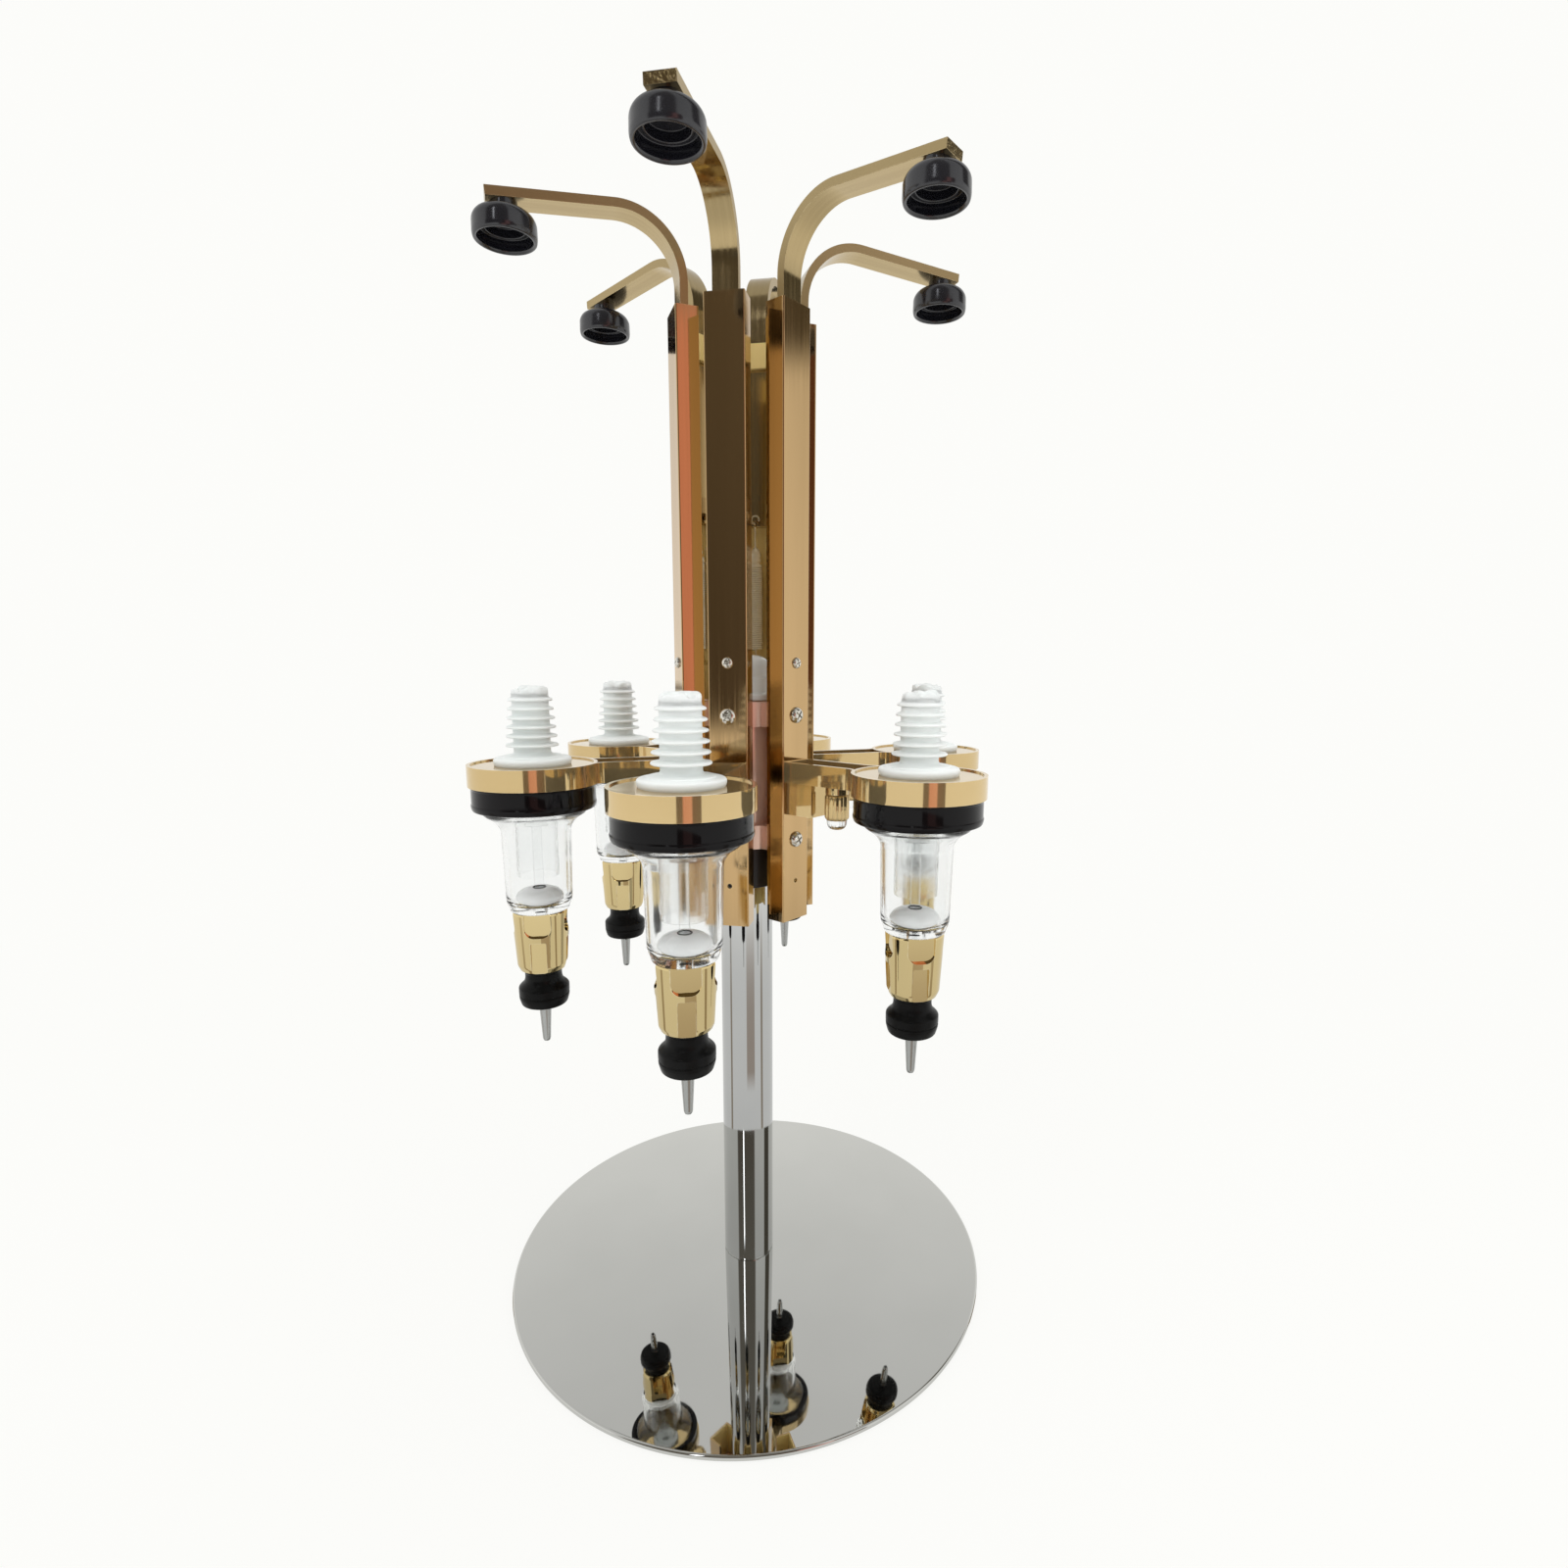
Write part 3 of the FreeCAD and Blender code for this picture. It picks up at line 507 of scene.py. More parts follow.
def make_finishes():
    made = {
        "mirror_steel": polished("mirror_polished_steel", (0.66, 0.66, 0.635),
                                 (0.69, 0.69, 0.665), (0.80, 0.80, 0.78), 0.01, 0.035, 0.002),
        "chrome_tube": polished("chrome_plated_tube", (0.54, 0.545, 0.54),
                                (0.59, 0.595, 0.59), (0.72, 0.72, 0.71), 0.02, 0.06, 0.004),
        "gold_channel": gold_channel(),
        "gold_bar": gold_bar(),
        "gold_casting": polished("polished_gold_casting", (0.62, 0.46, 0.225),
                                 (0.69, 0.52, 0.265), (0.86, 0.72, 0.46), 0.03, 0.10,
                                 0.015, 0.82),
        "gold_sleeve": polished("plated_gold_sleeve", (0.68, 0.54, 0.27),
                                (0.75, 0.60, 0.31), (0.92, 0.82, 0.58), 0.03, 0.09),
        # Coppery pink: partly the hub's own colour, partly a painted reflection of the gold
        # channels around it.
        "hub_metal": polished("turned_hub_copper_and_painted_reflection", (0.80, 0.53, 0.42), (0.86, 0.60, 0.49),
                              (0.92, 0.74, 0.64), 0.14, 0.26, 0.03, 0.5),
        "black_gloss": moulded("glossy_black_plastic", (0.002, 0.002, 0.002),
                               (0.005, 0.004, 0.005), (0.02, 0.018, 0.02), 0.05, 0.12,
                               120, 0.015, 0.18),
        "cup_black": moulded("moulded_cup_black", (0.006, 0.006, 0.009),
                             (0.012, 0.012, 0.016), (0.05, 0.05, 0.06), 0.14, 0.24,
                             140, 0.03, 0.75),
        "black_nylon": moulded("satin_black_nylon", (0.010, 0.008, 0.008),
                               (0.020, 0.015, 0.014), (0.06, 0.05, 0.045), 0.26, 0.42,
                               160, 0.05, 0.4),
        "black_rubber": moulded("black_push_rubber", (0.003, 0.003, 0.003),
                                (0.006, 0.006, 0.006), (0.012, 0.012, 0.012), 0.24, 0.40,
                                200, 0.06, 0.12),
        "pad_rubber": moulded("dark_pad_rubber", (0.02, 0.02, 0.02), (0.035, 0.035, 0.035),
                              (0.06, 0.06, 0.06), 0.6, 0.8, 300, 0.2),
        "white_silicone": milky("white_silicone", (0.76, 0.80, 0.79), (0.86, 0.89, 0.88),
                                (0.94, 0.95, 0.95), 0.30, 0.45, 0.45, 0.005),
        "valve_plastic": milky("milky_valve_plastic", (0.94, 0.95, 0.95), (0.97, 0.98, 0.98),
                               (0.98, 0.98, 0.98), 0.20, 0.32, 0.35, 0.002),
        "clear_plastic": clear_plastic(),
        "thin_clear": thin_clear(),
        "grey_plastic": moulded("grey_cap_plastic", (0.86, 0.89, 0.89), (0.92, 0.94, 0.94),
                                (0.95, 0.96, 0.96), 0.15, 0.28),
        "screw_nickel": polished("nickel_screw", (0.70, 0.67, 0.60), (0.78, 0.75, 0.68),
                                 (0.92, 0.90, 0.84), 0.10, 0.22, 0.04),
        "spring_steel": polished("bright_spring_wire", (0.84, 0.75, 0.54), (0.92, 0.83, 0.62),
                                 (0.95, 0.90, 0.80), 0.12, 0.24, 0.02, 0.45),
        "spout_steel": polished("drawn_spout_steel", (0.46, 0.47, 0.46), (0.54, 0.55, 0.54),
                                (0.72, 0.72, 0.71), 0.16, 0.28, 0.03),
    }
    return {name: finish.material for name, finish in made.items()}


# Shaping

def lathe(corners, steps=72, axis=0.0, rounds=4):
    """Closed outline of (radius, z, round) corners, spun full circle about a vertical."""
    bm = bmesh.new()
    verts = [bm.verts.new((corner[0], 0, corner[1])) for corner in corners]
    bm.faces.new(verts)
    sizes = sorted({corner[2] for corner in corners if len(corner) > 2})
    groups = [[vert for vert, corner in zip(verts, corners)
               if len(corner) > 2 and corner[2] == size] for size in sizes]
    for size, group in zip(sizes, groups):
        bmesh.ops.bevel(bm, geom=group, offset=size, offset_type="OFFSET", segments=rounds,
                        profile=0.5, affect="VERTICES", material=-1)
    bmesh.ops.delete(bm, geom=bm.faces[:], context="FACES_ONLY")
    middle = [edge for edge in bm.edges if max(abs(v.co.x) for v in edge.verts) < 1e-6]
    bmesh.ops.delete(bm, geom=middle, context="EDGES")
    bmesh.ops.spin(bm, geom=bm.verts[:] + bm.edges[:], cent=(0, 0, 0), axis=(0, 0, 1),
                   angle=math.tau, steps=steps, use_merge=True)
    bmesh.ops.remove_doubles(bm, verts=bm.verts, dist=1e-4)
    bmesh.ops.recalc_face_normals(bm, faces=bm.faces)
    bmesh.ops.translate(bm, vec=(axis, 0, 0), verts=bm.verts)
    return bm


def box(x0, x1, width, z0, z1):
    """Block centred on y = 0."""
    bm = bmesh.new()
    bmesh.ops.create_cube(bm, size=1.0)
    bmesh.ops.scale(bm, vec=(x1 - x0, width, z1 - z0), verts=bm.verts)
    bmesh.ops.translate(bm, vec=((x0 + x1) / 2, 0, (z0 + z1) / 2), verts=bm.verts)
    return bm


def joined(*parts):
    """One bmesh from several, each its own shell."""
    whole = bmesh.new()
    for part in parts:
        mesh = mesh_from(part, "part")
        whole.from_mesh(mesh)
        bpy.data.meshes.remove(mesh)
    return whole


def carved(body, tool):
    """The body with the tool's space cut out."""
    made = []
    for bm in (body, tool):
        thing = bpy.data.objects.new("shape", mesh_from(bm, "shape"))
        bpy.context.scene.collection.objects.link(thing)
        made.append(thing)
    cut = made[0].modifiers.new("cut", "BOOLEAN")
    cut.object = made[1]
    cut.operation = "DIFFERENCE"
    cut.solver = "EXACT"
    cut.use_self = True
    done = made[0].evaluated_get(bpy.context.evaluated_depsgraph_get())
    result = bmesh.new()
    result.from_mesh(done.to_mesh())
    done.to_mesh_clear()
    for thing in made:
        mesh = thing.data
        bpy.data.objects.remove(thing)
        bpy.data.meshes.remove(mesh)
    return result


def moved(bm, matrix):
    """Copy of a bmesh, moved."""
    mesh = mesh_from(bm.copy(), "one")
    mesh.transform(matrix)
    copy = bmesh.new()
    copy.from_mesh(mesh)
    bpy.data.meshes.remove(mesh)
    return copy


def at_stations(bm, turn=lambda number: Matrix.Identity(4)):
    """Six turned copies in one bmesh. turn gives a further move before the station's turn."""
    numbers = range(1, STATIONS + 1)
    whole = joined(*[moved(bm, station_turn(number) @ turn(number)) for number in numbers])
    bm.free()
    return whole


def smooth_mesh(bm, name, sharp):
    """Mesh in metres, smooth but for edges sharper than the given angle."""
    bmesh.ops.scale(bm, vec=(MM, MM, MM), verts=bm.verts)
    for face in bm.faces:
        face.smooth = True
    mesh = mesh_from(bm, name)
    mesh.set_sharp_from_angle(angle=math.radians(sharp))
    return mesh


def finish_piece(name, bm, finishes, finish, body, replaced=(), sharp=35):
    """Object riding on its body, standing for the solids it replaces."""
    mesh = smooth_mesh(bm, name, sharp)
    mesh.materials.append(finishes[finish])
    piece = bpy.data.objects.new(name, mesh)
    bpy.context.scene.collection.objects.link(piece)
    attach(piece, body)
    if replaced:
        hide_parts(*replaced)
    return piece


def softened_copy(node, width, sharp=30):
    """Copy of a solid's mesh in millimetres, welded and with its sharp edges eased."""
    bm = bmesh.new()
    bm.from_mesh(NODES[node].data)
    bmesh.ops.scale(bm, vec=(1 / MM, 1 / MM, 1 / MM), verts=bm.verts)
    bmesh.ops.remove_doubles(bm, verts=bm.verts, dist=1e-3)
    bmesh.ops.dissolve_limit(bm, angle_limit=math.radians(0.5), verts=bm.verts, edges=bm.edges)
    limit = math.radians(sharp)
    hard = [edge for edge in bm.edges if edge.is_manifold and edge.calc_face_angle(0) > limit]
    bmesh.ops.bevel(bm, geom=hard, offset=width, offset_type="OFFSET", segments=2,
                    profile=0.5, affect="EDGES", clamp_overlap=True, material=-1)
    return bm


def even_shade(piece):
    """Keep flats flat and eased edges smooth, by weighting each normal by its face's area."""
    weigh = piece.modifiers.new("even_shade", "WEIGHTED_NORMAL")
    weigh.mode = "FACE_AREA"
    weigh.keep_sharp = True


def mark_place(piece, number):
    """Store each point's place as if the station faced +X, so a drawn grain follows a bar."""
    back = station_turn(number).inverted()
    lay = piece.data.attributes.new("place", "FLOAT_VECTOR", "POINT")
    for item, vert in zip(lay.data, piece.data.vertices):
        item.vector = back @ vert.co


# Stand

def make_stand(finishes):
    plate = lathe([(0, BASE_LOW), (BASE_R, BASE_LOW, 1.1), (BASE_R, BASE_TOP, 1.4),
                   (0, BASE_TOP)], 256, rounds=5)
    finish_piece("round_base", plate, finishes, "mirror_steel", "stand", ["base_plate"])
    tube = lathe([(POLE_BORE_R, BASE_TOP), (POLE_R - 0.5, BASE_TOP),
                  (POLE_R - 0.5, BASE_TOP + 0.5), (POLE_R, BASE_TOP + 0.9, 0.2),
                  (POLE_R, POLE_TOP, 0.4), (POLE_BORE_R, POLE_TOP)], 128)
    finish_piece("upright_tube", tube, finishes, "chrome_tube", "stand", ["pole"])
    cap = lathe([(0, 355), (POLE_BORE_R, 355), (POLE_BORE_R, POLE_TOP), (19, POLE_TOP, 0.5),
                 (19, 370.6, 0.8), (16.2, 371.4, 0.3), (16.2, 379.6, 0.6), (15.2, 380.4, 0.3),
                 (15.2, 388, 3.0), (10.5, 393, 4.0), (0, 393)], 96)
    finish_piece("tube_cap", cap, finishes, "grey_plastic", "stand", ["pole_cap"])
    collar = lathe([(POLE_R, COLLAR_LOW), (COLLAR_R, COLLAR_LOW, 1.0),
                    (COLLAR_R, COLLAR_TOP, 1.0), (POLE_R, COLLAR_TOP)], 96)
    finish_piece("stop_collar", collar, finishes, "black_nylon", "stand", ["thrust_collar"])


# Rotor

def make_channels(finishes):
    for number in range(1, STATIONS + 1):
        channel = softened_copy(f"channel_{number}", 0.18)
        piece = finish_piece(f"folded_channel_{number}", channel, finishes, "gold_channel",
                             "rotor", [f"channel_{number}"], sharp=50)
        mark_place(piece, number)
        even_shade(piece)


def cross_screw(head_d, head_h, shank_d, length, face):
    """Pan-head screw along +X with a cross recess in its head."""
    radius = head_d / 2
    screw = lathe([(0, -length), (shank_d / 2, -length, 0.4), (shank_d / 2, 0),
                   (radius, 0), (radius, head_h * 0.35, 0.5), (radius * 0.72, head_h, 1.2),
                   (0, head_h)], 36)
    arm = radius * 0.62
    low = head_h * 0.35
    slot = box(-arm, arm, radius * 0.22, low, head_h + 1)
    across = box(-arm, arm, radius * 0.22, low, head_h + 1)
    bmesh.ops.rotate(across, cent=(0, 0, 0), matrix=Matrix.Rotation(math.pi / 2, 3, "Z"),
                     verts=across.verts)
    screw = carved(carved(screw, slot), across)
    bmesh.ops.rotate(screw, cent=(0, 0, 0), matrix=Matrix.Rotation(math.pi / 2, 3, "Y"),
                     verts=screw.verts)
    bmesh.ops.translate(screw, vec=(face, 0, 0), verts=screw.verts)
    return screw


def screws_at(screw, heights, tilt):
    """Copies of a screw at several heights, each turned a little about its own axis."""
    parts = []
    for index, z in enumerate(heights):
        turn = Matrix.Rotation(math.radians(tilt * (index + 1)), 4, "X")
        parts.append(moved(screw, Matrix.Translation((0, 0, z)) @ turn))
    screw.free()
    return joined(*parts)


def make_screws(finishes):
    big = screws_at(cross_screw(9.2, 2.6, 4.9, 15.6, CHANNEL_FACE), (287.2, 359.3), 27)
    finish_piece("channel_fixing_screws", at_stations(big), finishes, "screw_nickel", "rotor",
                 ["channel_screws"])
    small = screws_at(cross_screw(6.2, 1.8, 2.9, 12.5, CHANNEL_FACE), (ANCHOR_Z,), 20)
    finish_piece("spring_anchor_screws", at_stations(small), finishes, "screw_nickel", "rotor",
                 ["spring_anchors"])


def make_hub(finishes):
    sleeve = lathe([(HUB_BORE_R, HUB_LOW), (HUB_R, HUB_LOW, 0.5), (HUB_R, HUB_TOP, 0.5),
                    (HUB_BORE_R, HUB_TOP)], 96)
    finish_piece("turning_sleeve", sleeve, finishes, "hub_metal", "rotor", ["hub_sleeve"])


def make_brackets(finishes):
    bracket = softened_copy("brackets", 0.45)
    piece = finish_piece("cast_brackets", bracket, finishes, "gold_casting", "rotor",
                         ["brackets"], sharp=50)
    even_shade(piece)


def make_lock_rings(finishes):
    ring = lathe([(LOCK_BORE_R, LOCK_LOW), (LOCK_R - 0.6, LOCK_LOW, 0.8),
                  (LOCK_R, LOCK_LOW + 2.2, 0.5), (LOCK_R, LOCK_LOW + 3.4, 0.2),
                  (LOCK_R - 0.3, LOCK_LOW + 3.8, 0.2), (LOCK_R - 0.3, RING_LOW - 1.4, 0.2),
                  (LOCK_R, RING_LOW - 1.0, 0.2), (LOCK_R, RING_LOW, 0.3),
                  (LOCK_BORE_R, RING_LOW)], 96, OPTIC_AXIS)
    finish_piece("black_lock_rings", at_stations(ring), finishes, "black_gloss", "rotor",
                 ["lock_rings"])


def cut_top(number):
    """Uneven top of a moulded stopper, a little different at each station."""
    lump = bmesh.new()
    radius = 9.7
    rise = 4.2
    bmesh.ops.create_icosphere(lump, subdivisions=4, radius=radius)
    own = Vector((3.1 * number, 0.4, 1.7 * number))
    for vert in lump.verts:
        flat = rise * abs(vert.co.z / radius) ** 0.3
        vert.co.z = math.copysign(flat, vert.co.z)
        swell = noise.noise(vert.co * 0.2 + own) + 0.4 * noise.noise(vert.co * 0.6 + own)
        vert.co.z += 3.2 * swell * max(0.0, vert.co.z) / rise
        vert.co.xy *= 1 + 0.05 * swell
    bmesh.ops.translate(lump, vec=(OPTIC_AXIS, 0, 370.6), verts=lump.verts)
    for vert in lump.verts:
        vert.co.z = min(vert.co.z, 375.9)
    placed = moved(lump, station_turn(number))
    lump.free()
    return placed


def make_stoppers(finishes):
    """Finned stopper: discs with rounded lips, a stepped flange and an uneven top."""
    core = 9.8
    corners = [(4.0, 370.4), (6.0, 372.2, 0.8), (core, 371.8, 1.4)]
    fins = 6
    for fin in range(fins):
        z = 368.5 - fin * 4.95
        tip = (24.0 + fin * 4.6 / (fins - 1)) / 2
        corners += [(core, z + 1.2, 0.4), (tip - 0.4, z + 0.35, 0.4), (tip, z - 0.35, 0.35),
                    (tip - 0.5, z - 0.95, 0.3), (core, z - 1.0, 0.4)]
    corners += [(core, 339.5, 0.6), (11.2, 338.2, 0.8), (15.8, 337.7, 0.3),
                (16.3, 337.1, 0.3), (19.9, 336.7, 0.5), (20.75, 335.8, 0.6),
                (20.75, 333.9, 0.6), (20.1, SEAT_Z), (12.5, SEAT_Z), (12.5, 326.1, 0.5),
                (4.0, 326.1)]
    stopper = at_stations(lathe(corners, 72, OPTIC_AXIS, 3))
    tops = [cut_top(number) for number in range(1, STATIONS + 1)]
    finish_piece("finned_stoppers", joined(stopper, *tops), finishes, "white_silicone",
                 "rotor", ["stoppers"], sharp=60)


def make_chambers(finishes):
    """Clear chamber with its flared top and stepped foot, measuring tube and valve seat."""
    shell = lathe([(3.1, CHAMBER_LOW + 0.05), (16.0, CHAMBER_LOW + 0.05, 0.6),
                   (16.7, 252.6, 1.6), (18.0, 255.4, 1.6), (18.95, 297.5, 2.2),
                   (22.5, 302.2, 2.2), (28.3, 305.9, 2.2), (29, 308.8, 0.8),
                   (29, RING_LOW), (31, RING_LOW), (31, 324.8), (27.1, 324.8),
                   (27.1, 307.8, 1.0), (21.2, 304.2, 2.0), (16.9, 298.4, 2.0),
                   (16.1, 258, 2.0), (13.6, 254.0, 1.6), (3.1, 253.4)], 96, OPTIC_AXIS)
    finish_piece("clear_chambers", at_stations(shell), finishes, "clear_plastic", "rotor",
                 ["chambers"], sharp=50)
    tube = lathe([(10.7, 270), (11.4, 270, 0.3), (11.4, 320.5, 0.3), (10.7, 320.5)], 64,
                 OPTIC_AXIS)
    finish_piece("measuring_tubes", at_stations(tube), finishes, "thin_clear", "rotor",
                 sharp=50)
    seat = lathe([(3.1, 253.8), (12.6, 254.2, 0.8), (13.7, 256.6, 1.6), (12.2, 260.0, 2.2),
                  (8.2, 262.0, 2.4), (4.6, 262.5, 0.6), (3.1, 262.5)], 64, OPTIC_AXIS)
    finish_piece("valve_seats", at_stations(seat), finishes, "valve_plastic", "rotor",
                 sharp=50)
    seal = lathe([(3.0, 262.3), (3.7, 262.3, 0.1), (3.7, 262.8, 0.2), (3.0, 262.8, 0.2)], 40,
                 OPTIC_AXIS)
    finish_piece("valve_seat_seals", at_stations(seal), finishes, "black_rubber", "rotor",
                 sharp=50)


def upright_corners(bm, low, high, offset, segments):
    """Round the corners of a cutter whose edges run along X between two heights."""
    corners = [edge for edge in bm.edges
               if all(low < vert.co.z < high for vert in edge.verts)
               and abs(edge.verts[0].co.y - edge.verts[1].co.y) < 1e-6]
    bmesh.ops.bevel(bm, geom=corners, offset=offset, offset_type="OFFSET",
                    segments=segments, profile=0.5, affect="EDGES", material=-1)
    return bm


def relief_tool():
    """Shield and the flat strip under it, standing off the sleeve as a cutter on +X."""
    shield = upright_corners(box(12.6, 22, 14.5, 236.5, 251), 236, 237, 5.0, 8)
    strip = upright_corners(box(12.2, 22, 8.6, 214, 233.6), 233, 234, 1.0, 3)
    return joined(shield, strip)


def make_valve_sleeves(finishes):
    sleeve = lathe([(SLEEVE_BORE_R, SLEEVE_LOW), (12.6, SLEEVE_LOW, 0.3),
                    (14.0, SLEEVE_LOW + 3.0, 0.9), (15.8, 249.2, 0.5),
                    (15.4, CHAMBER_LOW, 0.2), (2.9, CHAMBER_LOW), (2.9, 247.5),
                    (SLEEVE_BORE_R, 247.5)], 96)
    tool = relief_tool()
    quarter = Matrix.Rotation(math.pi / 2, 3, "Z")
    for _ in range(4):
        sleeve = carved(sleeve, tool.copy())
        bmesh.ops.rotate(tool, cent=(0, 0, 0), matrix=quarter, verts=tool.verts)
    tool.free()

    def face_front(number):
        own = math.radians(RELIEF_BEARING - FIRST_ANGLE - TURN * (number - 1))
        return Matrix.Translation((OPTIC_AXIS, 0, 0)) @ Matrix.Rotation(own, 4, "Z")

    piece = finish_piece("gold_valve_sleeves", at_stations(sleeve, face_front), finishes,
                         "gold_sleeve", "rotor", ["valve_sleeves"], sharp=16)
    even_shade(piece)


def make_valves(finishes, number):
    body = f"valve_{number}"
    here = station_turn(number)
    bell = lathe([(0, 199), (3.65, 199), (3.65, BELL_LOW), (10.2, BELL_LOW, 0.6),
                  (12.7, BELL_LOW + 0.5, 1.0), (13.9, 197.6, 0.5), (14.0, 199.0, 0.15),
                  (13.6, 199.4, 0.1), (13.6, 199.7, 0.1), (14.05, 200.1, 0.15),
                  (14.05, 204.0, 0.5), (13.2, 205.0, 0.5), (10.9, 207.0, 1.2),
                  (10.2, 209.6, 0.8), (10.2, 212.6, 0.4), (10.7, 213.4, 0.3),
                  (10.7, 232, 0.5), (0, 232)], 72, OPTIC_AXIS)
    finish_piece(f"push_bell_{number}", moved(bell, here), finishes, "black_rubber",
                 body, [f"plunger_{number}"], sharp=50)
    bell.free()
    stem = lathe([(0, 231), (2.6, 231), (2.6, 300), (6.0, 300, 0.5), (6.5, 303, 0.8),
                  (6.0, 306, 0.8), (0, 306)], 48, OPTIC_AXIS)
    finish_piece(f"valve_stem_{number}", moved(stem, here), finishes, "thin_clear", body,
                 sharp=50)
    stem.free()
    spout = lathe([(1.3, SPOUT_LOW + 0.3), (1.7, SPOUT_LOW, 0.2), (2.25, 171.0, 0.6),
                   (3.3, 189.5, 0.6), (3.65, 191.0, 0.4), (3.65, 199), (1.3, 199)], 48,
                  OPTIC_AXIS)
    finish_piece(f"steel_spout_{number}", moved(spout, here), finishes, "spout_steel",
                 body, [f"spout_{number}"], sharp=50)
    spout.free()


def make_knob(finishes, number):
    """Fluted barrel with rounded ends, its stud, and a clear fluted tip."""
    body = f"knob_{number}"
    flutes = 12
    low = KNOB_LOW
    high = KNOB_LOW + KNOB_RISE
    barrel = lathe([(0, low), (5.6, low, 0.3), (6.85, low + 1.3, 0.6), (6.85, high - 1.1, 0.5),
                    (5.9, high, 0.3), (0, high)], flutes * 8)
    tip = lathe([(0, 297.0), (3.1, 297.05, 1.6), (5.3, 298.8, 1.8), (5.8, low - 0.05, 0.2),
                 (0, low - 0.05)], flutes * 8)
    for bm, depth in ((barrel, 0.085), (tip, 0.05)):
        for vert in bm.verts:
            dip = 0.5 - 0.5 * math.cos(flutes * math.atan2(vert.co.y, vert.co.x))
            vert.co.xy *= 1 - depth * dip ** 2
        bmesh.ops.translate(bm, vec=(KNOB_AXIS, 0, 0), verts=bm.verts)
    stud = lathe([(0, high), (2.5, high), (2.5, 328.7, 0.4), (0, 328.7)], 32, KNOB_AXIS)
    here = station_turn(number)
    knob = joined(barrel, stud)
    finish_piece(f"fluted_knob_{number}", moved(knob, here), finishes, "gold_casting", body,
                 [f"clamp_knob_{number}"], sharp=40)
    finish_piece(f"knob_tip_{number}", moved(tip, here), finishes, "clear_plastic", body,
                 sharp=50)
    knob.free()
    tip.free()


def make_cup(finishes, number):
    """Bell cup: straight barrel, sloping shoulder, slim neck, and a lip in its bore."""
    cup = lathe([(0, 606.2), (4.0, 606.2), (9.3, 605.8, 0.4), (9.3, 601.3, 0.5),
                 (10.9, 601.3, 0.5), (11.2, 602.6, 0.3), (13.0, 602.4, 0.4),
                 (13.1, 597.0, 0.5), (13.9, CUP_RIM, 0.4), (15.2, CUP_RIM, 0.7),
                 (15.75, 598.0, 0.8), (15.6, 606.4, 3.0), (10.6, 609.2, 2.2),
                 (6.7, 610.2, 0.8), (6.7, CUP_TOP), (0, CUP_TOP)], 96, CUP_AXIS, 6)
    for vert in cup.verts:
        if vert.co.z > CUP_TOP - 0.5:
            vert.co.z -= (vert.co.x - CUP_AXIS) * math.tan(math.radians(ARM_DROOP))
    finish_piece(f"bell_cup_{number}", moved(cup, station_turn(number)), finishes,
                 "cup_black", f"bottle_arm_{number}", [f"cup_{number}"],
                 sharp=50)
    cup.free()


def make_arm(finishes, number):
    bar = softened_copy(f"arm_{number}", 0.4, 50)
    piece = finish_piece(f"bent_bar_{number}", bar, finishes, "gold_bar",
                         f"bottle_arm_{number}", [f"arm_{number}"], sharp=50)
    mark_place(piece, number)
    even_shade(piece)


def spring_hook(start, end, eye):
    """Straight shank and the open loop at one end of the spring."""
    wire = 0.65
    side = 1 if end > start else -1
    low, high = sorted((start, end))
    shank = lathe([(0, low), (wire, low), (wire, high), (0, high)], 12, SPRING_AXIS)
    loop = bmesh.new()
    bmesh.ops.create_circle(loop, cap_ends=True, radius=wire, segments=10)
    bmesh.ops.translate(loop, vec=(0, 2.3, 0), verts=loop.verts)
    bmesh.ops.spin(loop, geom=loop.verts[:] + loop.edges[:] + loop.faces[:],
                   cent=(0, 0, 0), axis=(1, 0, 0), angle=math.radians(290), steps=20,
                   use_merge=False)
    bmesh.ops.recalc_face_normals(loop, faces=loop.faces)
    bmesh.ops.rotate(loop, cent=(0, 0, 0), verts=loop.verts,
                     matrix=Matrix.Rotation(math.radians(-90 * side), 3, "X"))
    bmesh.ops.translate(loop, vec=(SPRING_AXIS, 0, eye), verts=loop.verts)
    return [shank, loop]


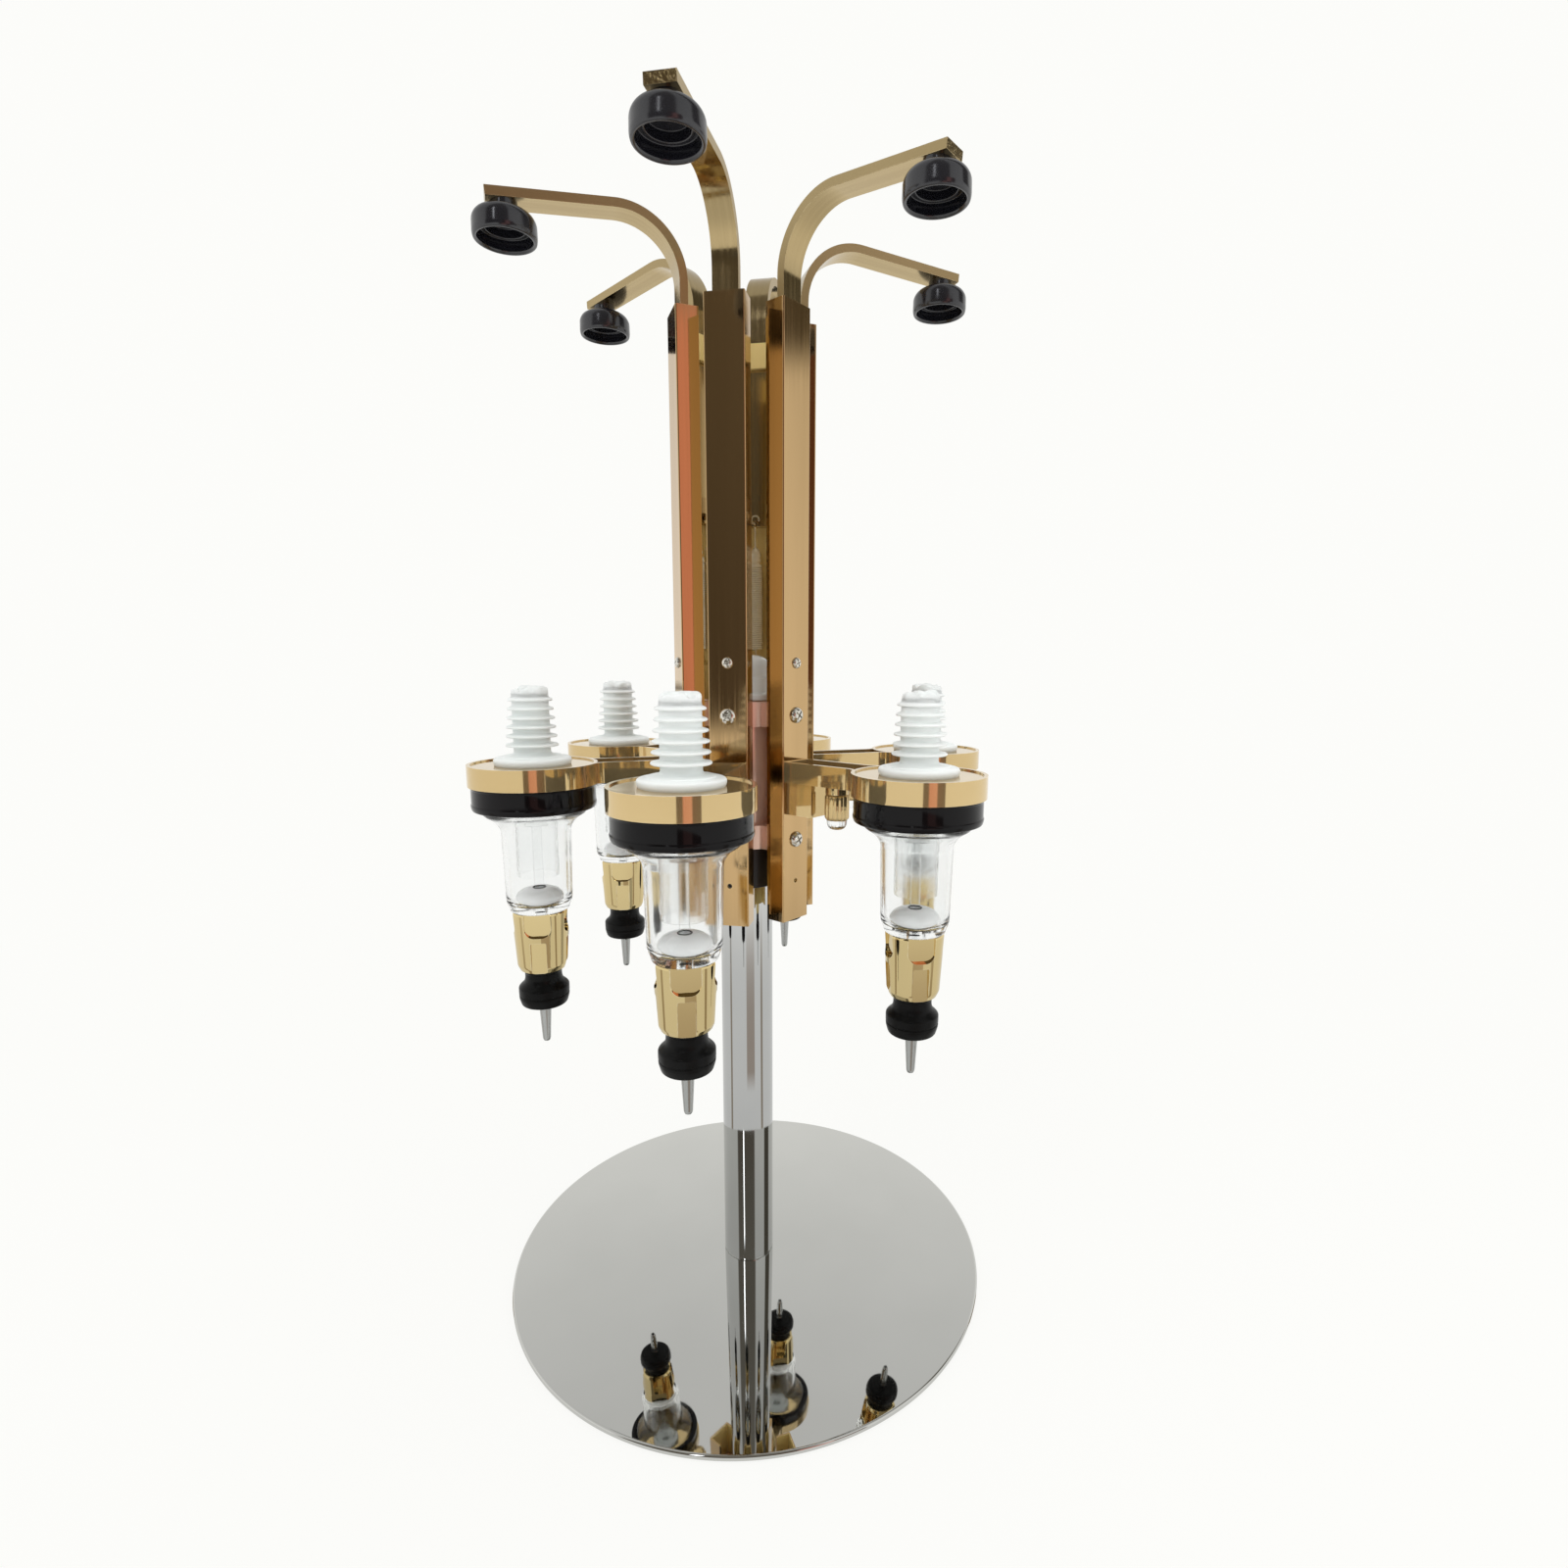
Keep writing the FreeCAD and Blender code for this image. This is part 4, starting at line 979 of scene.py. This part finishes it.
def make_spring(finishes, number):
    """Close-wound extension spring with a tapered crown and a hook at each end."""
    wire = 0.6
    mean = 4.2
    low = 396.5
    turns = 40
    pitch = 50.5 / turns
    per_turn = 18
    coil = bmesh.new()
    bmesh.ops.create_circle(coil, cap_ends=False, radius=wire, segments=7)
    bmesh.ops.rotate(coil, cent=(0, 0, 0), matrix=Matrix.Rotation(math.pi / 2, 3, "X"),
                     verts=coil.verts)
    bmesh.ops.translate(coil, vec=(mean, 0, low), verts=coil.verts)
    bmesh.ops.spin(coil, geom=coil.verts[:] + coil.edges[:], cent=(0, 0, 0), axis=(0, 0, 1),
                   dvec=(0, 0, pitch / per_turn), angle=math.tau * turns,
                   steps=turns * per_turn, use_merge=False)
    ends = [edge for edge in coil.edges if edge.is_boundary]
    bmesh.ops.holes_fill(coil, edges=ends, sides=8)
    bmesh.ops.recalc_face_normals(coil, faces=coil.faces)
    bmesh.ops.translate(coil, vec=(SPRING_AXIS, 0, 0), verts=coil.verts)
    crown = lathe([(0, 446.4), (4.6, 446.4, 0.3), (4.6, 447.6, 0.4), (3.0, 448.6, 0.3),
                   (3.9, 450.2, 0.5), (3.4, 452.2, 0.4), (3.8, 454.2, 0.5), (2.6, 456.6, 0.6),
                   (1.5, 457.6, 0.4), (0.7, 458.4), (0, 458.4)], 32, SPRING_AXIS)
    hooks = spring_hook(458.0, 470.2, PEG_Z) + spring_hook(397.2, 391.0, ANCHOR_Z)
    whole = joined(coil, crown, *hooks)
    mesh = smooth_mesh(moved(whole, station_turn(number)), f"arm_spring_{number}", 60)
    whole.free()
    mesh.materials.append(finishes["spring_steel"])
    piece = bpy.data.objects.new(mesh.name, mesh)
    bpy.context.scene.collection.objects.link(piece)
    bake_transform(piece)
    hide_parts(f"spring_{number}")


def dress_solids(finishes):
    """Solids whose shape is right keep it and take their finish from their slot."""
    for name, node in NODES.items():
        if node.hide_render:
            continue
        node.data.materials.clear()
        node.data.materials.append(finishes[SLOTS[name]])


bpy.context.scene.view_settings.view_transform = "Standard"
place_camera()
light_the_room()
lay_floor()
finishes = make_finishes()
make_stand(finishes)
make_channels(finishes)
make_screws(finishes)
make_hub(finishes)
make_brackets(finishes)
make_lock_rings(finishes)
make_stoppers(finishes)
make_chambers(finishes)
make_valve_sleeves(finishes)
for number in range(1, STATIONS + 1):
    make_valves(finishes, number)
    make_knob(finishes, number)
    make_cup(finishes, number)
    make_arm(finishes, number)
    make_spring(finishes, number)
dress_solids(finishes)
